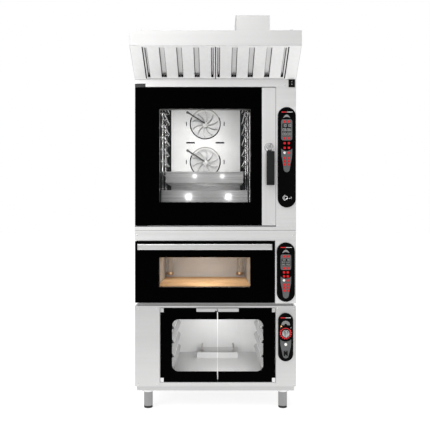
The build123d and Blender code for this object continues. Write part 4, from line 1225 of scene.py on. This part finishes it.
@dataclass(frozen=True)
class KeyPanel:
    """Where one panel's display plate and its two columns of keys stand."""

    node: str
    middle: float
    plate: Span
    pitch: float
    rows: tuple[float, ...]


class Panel(Enum):
    """The two panels with keys."""

    COMBI = KeyPanel(
        "combi_control_panel", 0.4057, (1.541, 1.661), 0.012,
        (1.648, 1.553, 1.525, 1.4985, 1.440, 1.422, 1.404),
    )
    DECK = KeyPanel(
        "deck_control_panel", 0.401, (0.803, 0.891), 0.0105,
        (0.880, 0.813, 0.789, 0.7665, 0.719, 0.702, 0.685),
    )


@dataclass
class Controls:
    """Displays, printed marks, keys, the thermostat knob and the switches."""

    bench: Bench
    ink: float = 0.0003
    figures: tuple[str, ...] = ("180", "035", "060")
    screen_half: float = 0.025
    screen_margin: float = 0.024
    arrow: tuple[float, float, float] = (0.003, 0.0018, 0.003)
    key_stripes: tuple[Place, Place] = ((-0.016, 0.028, 0.0038), (0.017, 0.034, 0.0026))
    key_stripe_drop: float = 0.0285
    prover_stripes: tuple[Place, Place] = ((-0.016, 0.026, 0.004), (0.014, 0.030, 0.003))
    prover_stripe_drop: float = 0.027
    knob: tuple[float, float] = (0.400, 0.4425)
    flutes: int = 24
    flute: float = 0.0006
    ring: Span = (0.0265, 0.0300)
    tick: Span = (0.0302, 0.0345)
    ticks: int = 12
    socket: tuple[float, float] = (0.400, 1.214)

    def dress(self) -> None:
        """Puts finishes on the carried-over panels and buttons."""
        dress = self.bench.dress
        dress(Finish.PANEL, "combi_control_panel", "deck_control_panel", "prover_control_panel")
        dress(Finish.INLAY, "panel_inlays")
        dress(Finish.KEY, "keypad_keys")
        dress(Finish.BUTTON, "combi_power_button", "deck_power_button", "prover_light_button")
        dress(Finish.SWITCH, "prover_rocker")

    def printed(self, name: str, outlines: list[Outline], front: float, finish: Finish, body: str = "tower",
                like: str = "panel_inlays") -> None:
        """Adds flat printed marks on a surface.

        Args:
            name: the piece's name.
            outlines: its shapes.
            front: the surface's depth.
            finish: the ink.
            body: the body it rides on.
            like: handed on to the bench, which does not use it.
        """
        mesh = self.bench.plates(name, outlines, (front - self.ink, front - 0.00002))
        self.bench.add(name, mesh, body, like, finish)

    def crescent(self, cx: float, base: float, half: float, rise: float, thick: float) -> Outline:
        """Draws a pointed arch.

        Args:
            cx: its middle.
            base: the height of its points.
            half: half of its width.
            rise: its height.
            thick: how thick its crown is.

        Returns:
            The outline's points.
        """
        xs = [-half + 2 * half * i / 16 for i in range(17)]
        top = [(cx + x, base + rise * (1 - (x / half) ** 2)) for x in xs]
        under = [(cx + x, base - 0.0001 + (rise - thick) * (1 - (x / half) ** 2)) for x in reversed(xs[1:-1])]
        return top + under

    def build_stripes(self, name: str, node: str, middle: float, drop: float, bars: Sequence[Place]) -> None:
        """Prints the red and the white stripe near a panel's top.

        Args:
            name: the panel's short name.
            node: its node.
            middle: the x that the stripes lie round.
            drop: how far they lie below the panel's top.
            bars: each stripe's offset, width and height, the red one first.
        """
        low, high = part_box(node)
        inks = (("red", Finish.INK_RED), ("white", Finish.INK_WHITE))
        for (offset, width, height), (colour, ink) in zip(bars, inks):
            bar = box_outline(middle + offset, high.z - drop, width, height)
            self.printed(f"{name}_stripe_{colour}", [bar], low.y, ink)

    def build_display(self, name: str, panel: KeyPanel) -> None:
        """Builds one panel's screen, figures, crescent and stripes.

        Args:
            name: the panel's short name.
            panel: the panel.
        """
        cx, (low, high) = panel.middle, panel.plate
        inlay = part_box("panel_inlays")[0].y
        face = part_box(panel.node)[0].y
        screen = (low + self.screen_margin, high - self.screen_margin)
        glass = rounded((cx - self.screen_half, cx + self.screen_half), screen, 0.003, 4)
        self.printed(f"{name}_screen", [glass], inlay, Finish.SCREEN)
        step = (screen[1] - screen[0]) / len(self.figures)
        marks: list[Outline] = []
        for i, figure in enumerate(self.figures):
            z = screen[1] - step * (i + 0.5)
            for side in (-1, 1):
                for k, f in enumerate(figure):
                    marks += digit(f, cx + side * 0.0125 + (k - 1) * 0.0068, z, step * 0.56)
        self.printed(f"{name}_figures", marks, inlay - self.ink, Finish.DIGIT)
        crest = self.crescent(cx, high + 0.007, 0.021, 0.020, 0.013)
        self.printed(f"{name}_crescent", [crest], face, Finish.INK_GREY)
        self.build_stripes(name, panel.node, cx, self.key_stripe_drop, self.key_stripes)

    def key_mark(self, row: int, x: float, z: float) -> list[Outline]:
        """Draws one key's mark: an arrow up, an arrow down or three bars, by turns.

        Args:
            row: the key's row.
            x: its centre's x.
            z: its centre's z.

        Returns:
            The mark's outlines.
        """
        half, foot, tip = self.arrow
        if row % 3 == 0:
            return [[(x - half, z - foot), (x + half, z - foot), (x, z + tip)]]
        if row % 3 == 1:
            return [[(x - half, z + foot), (x, z - tip), (x + half, z + foot)]]
        return [box_outline(x, z + d, 2 * half, 0.001) for d in (-0.002, 0.0, 0.002)]

    def build_glyphs(self) -> None:
        """Prints arrows and bars on the keys and a power sign on the white buttons."""
        marks: list[Outline] = []
        for panel in (member.value for member in Panel):
            for row, z in enumerate(panel.rows):
                for x in (panel.middle - panel.pitch, panel.middle + panel.pitch):
                    marks += self.key_mark(row, x, z)
        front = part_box("keypad_keys")[0].y
        self.printed("key_glyphs", marks, front, Finish.KEY_MARK, like="keypad_keys")
        for body in ("combi_power", "deck_power"):
            node = f"{body}_button"
            low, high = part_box(node)
            x, z = (low.x + high.x) / 2, (low.z + high.z) / 2
            sign = [band(x, z, (0.0026, 0.0034), (120, 420), 20), box_outline(x, z + 0.0028, 0.0008, 0.0032)]
            self.printed(f"{node}_sign", sign, low.y, Finish.INK_GREY, body, node)

    def build_thermostat(self) -> None:
        """Prints the prover's red scale, arcs, numbers and stripes, and builds its pilot light."""
        x, z = self.knob
        node = "prover_control_panel"
        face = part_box(node)[0].y
        scale = [band(x, z, self.ring, half, 40) for half in ((0, 180), (180.2, 359.8))]
        for i in range(self.ticks):
            a = -210 + 240 * i / (self.ticks - 1)
            scale.append(band(x, z, self.tick, (a - 4.5, a + 4.5), 4))
        self.printed("thermostat_scale", scale, face, Finish.INK_RED)
        arcs = [band(x, z + 0.046, (r, r + 0.0050), (0, 180), 24) for r in (0.0085, 0.0141, 0.0197)]
        self.printed("thermostat_arcs", arcs, face, Finish.INK_GREY)
        numbers: list[Outline] = []
        for figure, dx in (("3", -0.030), ("6", 0.030)):
            numbers += digit(figure, x + dx, z + 0.031, 0.005)
        self.printed("thermostat_numbers", numbers, face, Finish.INK_WHITE)
        dome = [(0, 0.0022), (0.002, 0.002), (0.0034, 0.0008), (0.0036, 0)]
        pilot = self.bench.turned("pilot", dome, (x - 0.025, face, z + 0.039), count=24)
        self.bench.add("prover_pilot_light", pilot, "tower", "panel_inlays", Finish.AMBER)
        self.build_stripes("prover", node, x, self.prover_stripe_drop, self.prover_stripes)

    def build_knob(self) -> None:
        """Builds the fluted metal knob with its grip bar and pointer, and dark strips beside the bar that
        paint its shadow.
        """
        x, z = self.knob
        body, node = "knob", "prover_knob"
        low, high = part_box(node)
        skirt, edge = high.y - 0.0062, (high.x - low.x) / 2
        front = skirt - 0.008
        flutes: Outline = []
        for i in range(4 * self.flutes):
            a = math.tau * i / (4 * self.flutes)
            r = edge - 0.0008 + self.flute * math.cos(self.flutes * a)
            flutes.append((x + r * math.cos(a), z + r * math.sin(a)))
        base = self.bench.plates("skirt", [flutes], (front, skirt))
        profile = [(0, 0.0015), (edge * 0.55, 0.0012), (edge - 0.0038, 0.0), (edge - 0.0018, -0.0012)]
        dome = self.bench.turned("dome", profile, (x, front, z))
        half = edge - 0.0018
        bar = self.bench.soft_box(
            "bar", (x - 0.0045, x + 0.0045), (low.y, front + 0.001), (z - half, z + half), 0.002, 3
        )
        mesh = self.bench.joined("prover_knob_fluted", [base, dome, bar])
        self.bench.add("prover_knob_fluted", mesh, body, node, Finish.KNOB, [node])
        pointer = [box_outline(x, z + 0.013, 0.0016, 0.011)]
        self.printed("prover_knob_pointer", pointer, low.y, Finish.INK_WHITE, body, node)
        # Dark strips beside the grip bar: painted shadow.
        shadow_strips = [box_outline(x + side * 0.0060, z, 0.0026, 2 * edge - 0.014) for side in (-1, 1)]
        self.printed("prover_knob_bar_shadows", shadow_strips, front - 0.0016, Finish.DARK, body, node)

    def build_probe_socket(self) -> None:
        """Builds the core probe's socket low on the combi panel."""
        x, z = self.socket
        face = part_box("combi_control_panel")[0].y
        profile = [(0.0075, 0.0), (0.0078, 0.0035), (0.009, 0.0042), (0.0115, 0.0036), (0.0125, 0.0)]
        rim = self.bench.turned("rim", profile, (x, face, z))
        self.bench.add("probe_socket_rim", rim, "tower", "combi_control_panel", Finish.CHROME)
        marks = [
            band(x, z, (0.0145, 0.0165), (100, 260), 20),
            box_outline(x + 0.0225, z - 0.004, 0.012, 0.0018),
            band(x + 0.0305, z, (0.003, 0.0045), (-80, 120), 12),
        ]
        self.printed("probe_socket_marks", marks, face, Finish.INK_WHITE)

    def build_rocker_marks(self) -> None:
        """Prints a bar and a ring on the prover's rocker."""
        low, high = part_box("prover_rocker")
        x, z = (low.x + high.x) / 2, (low.z + high.z) / 2
        ring = band(x, z - 0.0095, (0.0015, 0.0021), (0, 359), 20)
        marks = [box_outline(x, z + 0.0095, 0.0009, 0.004), ring]
        self.printed("prover_rocker_marks", marks, low.y, Finish.INK_WHITE, "light_rocker", "prover_rocker")

    def build(self) -> None:
        """Builds and dresses all the controls."""
        self.dress()
        for panel in Panel:
            self.build_display(panel.name.lower(), panel.value)
        self.build_glyphs()
        self.build_thermostat()
        self.build_knob()
        self.build_probe_socket()
        self.build_rocker_marks()


@dataclass
class Hood:
    """The extraction hood: shell, filters with drains, duct, fan and switch, with painted shade in its
    joints, channels and drains and on the duct's side.

    The slope rises by rise over reach. Each filter has strips between open channels, inside its rails.
    """

    bench: Bench
    rise: float = 0.131
    reach: float = 0.220
    gap: float = 0.030
    rail: float = 0.006
    strips: int = 4
    channel: Span = (0.0170, 0.2390)
    edge: float = 0.0035
    drain: Span = (0.0175, 0.0350)
    rim: Span = (0.0040, 0.0062)
    least_rimmed: float = 0.02
    joint: float = 0.006
    lug: float = 0.405
    filters: tuple[tuple[str, float, float], ...] = (("left", -0.390, -0.004), ("right", 0.004, 0.390))

    def slope(self) -> Matrix:
        """Works out the hood's slope.

        Returns:
            The transform from the front plane to it.
        """
        low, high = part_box("combi_front_frame")
        lean = Matrix.Rotation(math.atan2(self.reach, self.rise), 4, "X")
        return Matrix.Translation((0, low.y, high.z)) @ lean

    def gaps(self, low: float, high: float) -> list[Span]:
        """Returns the open channels between one filter's strips, left to right.

        Args:
            low: the filter's left edge.
            high: its right edge.

        Returns:
            Each channel's left and right.
        """
        first, last = low + self.rail, high - self.rail
        pitch = (last - first) / self.strips
        middles = [first + i * pitch for i in range(self.strips + 1)]
        half = self.gap / 2
        return [(max(m - half, first + 0.0005), min(m + half, last - 0.0005)) for m in middles]

    def build_filter(self, side: str, low: float, high: float) -> None:
        """Builds one filter's channel floors and drain rims, and the painted shade on it: dark strips along
        the channels' edges and black in the drain openings.

        Args:
            side: "left" or "right".
            low: the filter's left edge.
            high: its right edge.
        """
        tilt = self.slope()
        body, node = f"filter_{side}", f"hood_filter_{side}"
        floors, edges, drain_shadows, rims = [], [], [], []
        for left, right in self.gaps(low, high):
            floors.append(rounded((left, right), self.channel, 0.0004, 1))
            for x in ((left, left + self.edge), (right - self.edge, right)):
                edges.append(rounded(x, self.channel, 0.0003, 1))
            drain_shadows.append(rounded((left + 0.001, right - 0.001), self.drain, 0.002, 3))
            if right - left > self.least_rimmed:
                middle, foot = (left + right) / 2, self.drain[0] + 0.006
                outer, hole = (circle(middle, foot, r, 28) for r in self.rim[::-1])
                rims.append(self.bench.plates("rim", [outer], (0.0012, 0.0020), [hole]))
        # Dark strips along the channels' edges and black plates in the drains paint their shade.
        for name, outlines, depth, finish in (
            ("channels", floors, (0.0178, 0.0188), Finish.CHANNEL),
            ("channel_edge_shadows", edges, (0.0168, 0.0176), Finish.SHADOW_LINES),
            ("drain_shadows", drain_shadows, (0.0022, 0.0040), Finish.DARK),
        ):
            plate = self.bench.plates(name, outlines, depth, tilt=tilt)
            self.bench.add(f"{node}_{name}", plate, body, node, finish)
        # The rims take dark steel: painted shade round the drains.
        mesh = self.bench.joined(f"{node}_drain_rims", rims)
        mesh.transform(tilt)
        self.bench.add(f"{node}_drain_rims", mesh, body, node, Finish.SHADED)

    def build_shadow_gaps(self) -> None:
        """Builds black strips round both filters and down the middle: painted shadow in the joints."""
        (_, left, _), (_, _, right) = self.filters[0], self.filters[1]
        foot, head = 0.0095, 0.2465
        spans = (
            ((left, right), (foot - 0.0016, foot)),
            ((left - self.joint, left), (foot, head)),
            ((right, right + self.joint), (foot, head)),
            ((-0.002, 0.002), (foot - 0.004, head)),
        )
        lines = [rounded(x, z, 0.0004, 1) for x, z in spans]
        mesh = self.bench.plates("shadow_gaps", lines, (-0.0005, -0.0001), tilt=self.slope())
        self.bench.add("hood_shadow_gaps", mesh, "tower", "hood_filter_frame", Finish.DARK)

    def build_duct_side_shade(self) -> None:
        """Builds a dark plate on the duct's left side: painted shade for the side that lies in shadow."""
        low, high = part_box("hood_duct")
        x, y = (low.x - 0.0030, low.x - 0.0001), (low.y + 0.001, high.y - 0.001)
        z = (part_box("hood_shell")[1].z, high.z)
        plate = self.bench.soft_box("duct_side", x, y, z, 0.0004, 1)
        self.bench.add("hood_duct_side_shade", plate, "tower", "hood_duct", Finish.SHADED)

    def build_lugs(self) -> None:
        """Builds the two small lifting lugs on the hood's front edge."""
        low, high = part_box("hood_shell")
        y, z = (low.y + 0.004, low.y + 0.022), (high.z, high.z + 0.006)
        spans = [(x - 0.009, x + 0.009) for x in (-self.lug, self.lug)]
        lugs = [self.bench.soft_box("lug", x, y, z, 0.0015, 2) for x in spans]
        self.bench.add("hood_lugs", self.bench.joined("hood_lugs", lugs), "tower", "hood_shell", Finish.HOOD)

    def build_switch_marks(self) -> None:
        """Prints a bar and a ring on the hood's rocker."""
        low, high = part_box("hood_switch_rocker")
        x, z = (low.x + high.x) / 2, (low.z + high.z) / 2
        marks = [box_outline(x, z + 0.007, 0.0016, 0.005), band(x, z - 0.007, (0.0017, 0.0028), (0, 359), 20)]
        mesh = self.bench.plates("switch_marks", marks, (low.y - 0.0003, low.y - 0.00002))
        self.bench.add("hood_switch_marks", mesh, "hood_rocker", "hood_switch_rocker", Finish.INK_WHITE)

    def build(self) -> None:
        """Builds and dresses the hood."""
        dress = self.bench.dress
        dress(Finish.HOOD, "hood_shell", "hood_duct")
        dress(Finish.FILTER, "hood_filter_frame", "hood_filter_left", "hood_filter_right")
        dress(Finish.MOTOR, "hood_fan_motor")
        dress(Finish.ALLOY, "hood_fan_wheel")
        dress(Finish.SWITCH, "hood_switch_housing", "hood_switch_rocker")
        for side, low, high in self.filters:
            self.build_filter(side, low, high)
        self.build_shadow_gaps()
        self.build_duct_side_shade()
        self.build_lugs()
        self.build_switch_marks()


@dataclass(frozen=True)
class SoftBox:
    """One square lamp, with its width in metres, its power in watts and its spread in degrees."""

    name: str
    at: Place
    towards: Place
    size: float
    power: float
    spread: float = 180.0
    colour: Place = (1.0, 1.0, 1.0)

    def build(self) -> None:
        """Hangs the lamp."""
        data = bpy.data.lights.new(self.name, "AREA")
        data.size, data.energy, data.color = self.size, self.power, self.colour
        data.spread = math.radians(self.spread)
        lamp = bpy.data.objects.new(self.name, data)
        lamp.location = self.at
        lamp.visible_camera = False
        lamp.rotation_euler = (Vector(self.towards) - Vector(self.at)).to_track_quat("-Z", "Y").to_euler()
        bpy.context.scene.collection.objects.link(lamp)


@dataclass
class Studio:
    """Camera, floor, surroundings and lights."""

    face: float = -0.295
    distance: float = 3.328
    eye: tuple[float, float] = (-0.00286, 1.1159)
    lens: float = 48.79
    lean: float = -1.2
    dusk: tuple[float, float, float, float] = (-1.15, 0.3, 0.42, 1.0)
    floor_dusk: tuple[float, float, float, float] = (-2.6, -0.6, 0.0, 1.0)
    floor_size: float = 30.0
    floor_glow: float = 0.72
    lights: tuple[SoftBox, ...] = (
        SoftBox("key", (-2.5, -2.9, 3.0), (-0.1, -0.3, 1.4), 2.4, 86.0, colour=(1.0, 0.992, 0.99)),
        SoftBox("fill", (2.6, -3.0, 2.4), (0.1, -0.3, 1.4), 2.2, 5.0, colour=(1.0, 0.995, 1.0)),
        SoftBox("high", (-0.4, -2.6, 4.2), (0.0, -0.3, 2.0), 1.6, 34.0),
        SoftBox("back", (0.5, 3.4, 2.8), (0.0, 0.3, 1.2), 2.6, 34.0),
        SoftBox("combi_chamber", (-0.09, -0.22, 1.60), (-0.11, 0.27, 1.58), 0.42, 1.26, 84.0, (1, 1, 0.99)),
        SoftBox("combi_pan_left", (-0.1605, -0.232, 1.225), (-0.1605, -0.18, 1.225), 0.036, 0.016),
        SoftBox("combi_pan_right", (0.0765, -0.232, 1.225), (0.0765, -0.18, 1.225), 0.036, 0.016),
        SoftBox("combi_shelf_left", (-0.124, -0.232, 1.348), (-0.124, -0.18, 1.348), 0.020, 0.006),
        SoftBox("combi_shelf_right", (0.0405, -0.232, 1.348), (0.0405, -0.18, 1.348), 0.020, 0.006),
        SoftBox("combi_drip", (-0.065, 0.02, 1.300), (-0.065, 0.25, 1.24), 0.10, 0.26, 160.0),
        SoftBox("deck_stone", (-0.066, 0.06, 0.856), (-0.066, 0.06, 0.69), 0.46, 0.95, 150, (1, 0.97, 0.925)),
        SoftBox("deck_chamber", (-0.066, -0.21, 0.81), (-0.066, 0.4, 0.8), 0.10, 0.5, 110.0, (1, 0.97, 0.94)),
        SoftBox("prover_chamber", (0.012, -0.25, 0.40), (0.012, 0.40, 0.29), 0.34, 0.92, 105.0),
    )

    def build_camera(self) -> None:
        """Places the camera level, square to the front."""
        data = bpy.data.cameras.new("camera")
        data.lens, data.sensor_width = self.lens, 36.0
        data.dof.use_dof = False
        camera = bpy.data.objects.new("camera", data)
        camera.location = (self.eye[0], self.face - self.distance, self.eye[1])
        camera.rotation_euler = Euler((math.radians(90), 0, 0))
        bpy.context.scene.collection.objects.link(camera)
        bpy.context.scene.camera = camera

    def build_floor(self) -> None:
        """Lays the pale floor, which glows from the tower back and dims ahead of it."""
        bm = bmesh.new()
        bmesh.ops.create_grid(bm, x_segments=8, y_segments=8, size=self.floor_size)
        bmesh.ops.translate(bm, verts=bm.verts, vec=(0, 0, -0.0005))
        floor = bpy.data.objects.new("studio_floor", Bench.mesh(bm, "studio_floor"))
        bpy.context.scene.collection.objects.link(floor)
        s = Shader.named("floor_paper")
        paper = s.noise((3.0, 3.0, 3.0), 4.0)
        depth = s.node("ShaderNodeSeparateXYZ", {}, {0: s.stretched((1.0, 1.0, 1.0))}, "Y")
        near = s.between(depth, *self.floor_dusk)
        floor.data.materials.append(
            s.surface(
                {
                    "Base Color": s.blend(paper, (0.40, 0.40, 0.40), (0.42, 0.42, 0.42)),
                    "Roughness": 0.9,
                    "Emission Color": s.blend(near, (0.30, 0.30, 0.30), (1.0, 1.0, 1.0)),
                    "Emission Strength": self.floor_glow,
                }
            )
        )

    def build_surroundings(self) -> None:
        """Makes the world bright behind the tower and to its left, and darker ahead of it."""
        s = Shader(bpy.data.worlds.new("surroundings"))
        place = s.node("ShaderNodeTexCoord", {}, {}, "Generated")
        across, depth = (s.node("ShaderNodeSeparateXYZ", {}, {0: place}, axis) for axis in "XY")
        shade = s.between(across * self.lean + depth, *self.dusk)
        sky = s.node("ShaderNodeBackground", {}, {"Color": shade})
        s.node("ShaderNodeOutputWorld", {}, {0: sky})
        bpy.context.scene.world = s.owner

    def build(self) -> None:
        """Builds the studio."""
        self.build_camera()
        self.build_surroundings()
        self.build_floor()
        for lamp in self.lights:
            lamp.build()
        bpy.context.scene.view_settings.view_transform = "Standard"


def corners(box: tuple[Vector, Vector]) -> list[list[float]]:
    """Returns a box as plain lists."""
    return [list(corner) for corner in box]


def main() -> None:
    """Builds every sub-assembly."""
    logging.basicConfig(level=logging.INFO, format="%(message)s")
    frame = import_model()
    bench = Bench(frame, Paint())
    Studio().build()
    ovens = (Cabinets, Undercarriage, CombiDoor, ConvectionFans, DeckDoor, DeckLamps, ProverDoors)
    for part in (*ovens, Controls, Hood):
        part(bench).build()
        log.info("%s done", part.__name__)


if __name__ == "__main__":
    main()
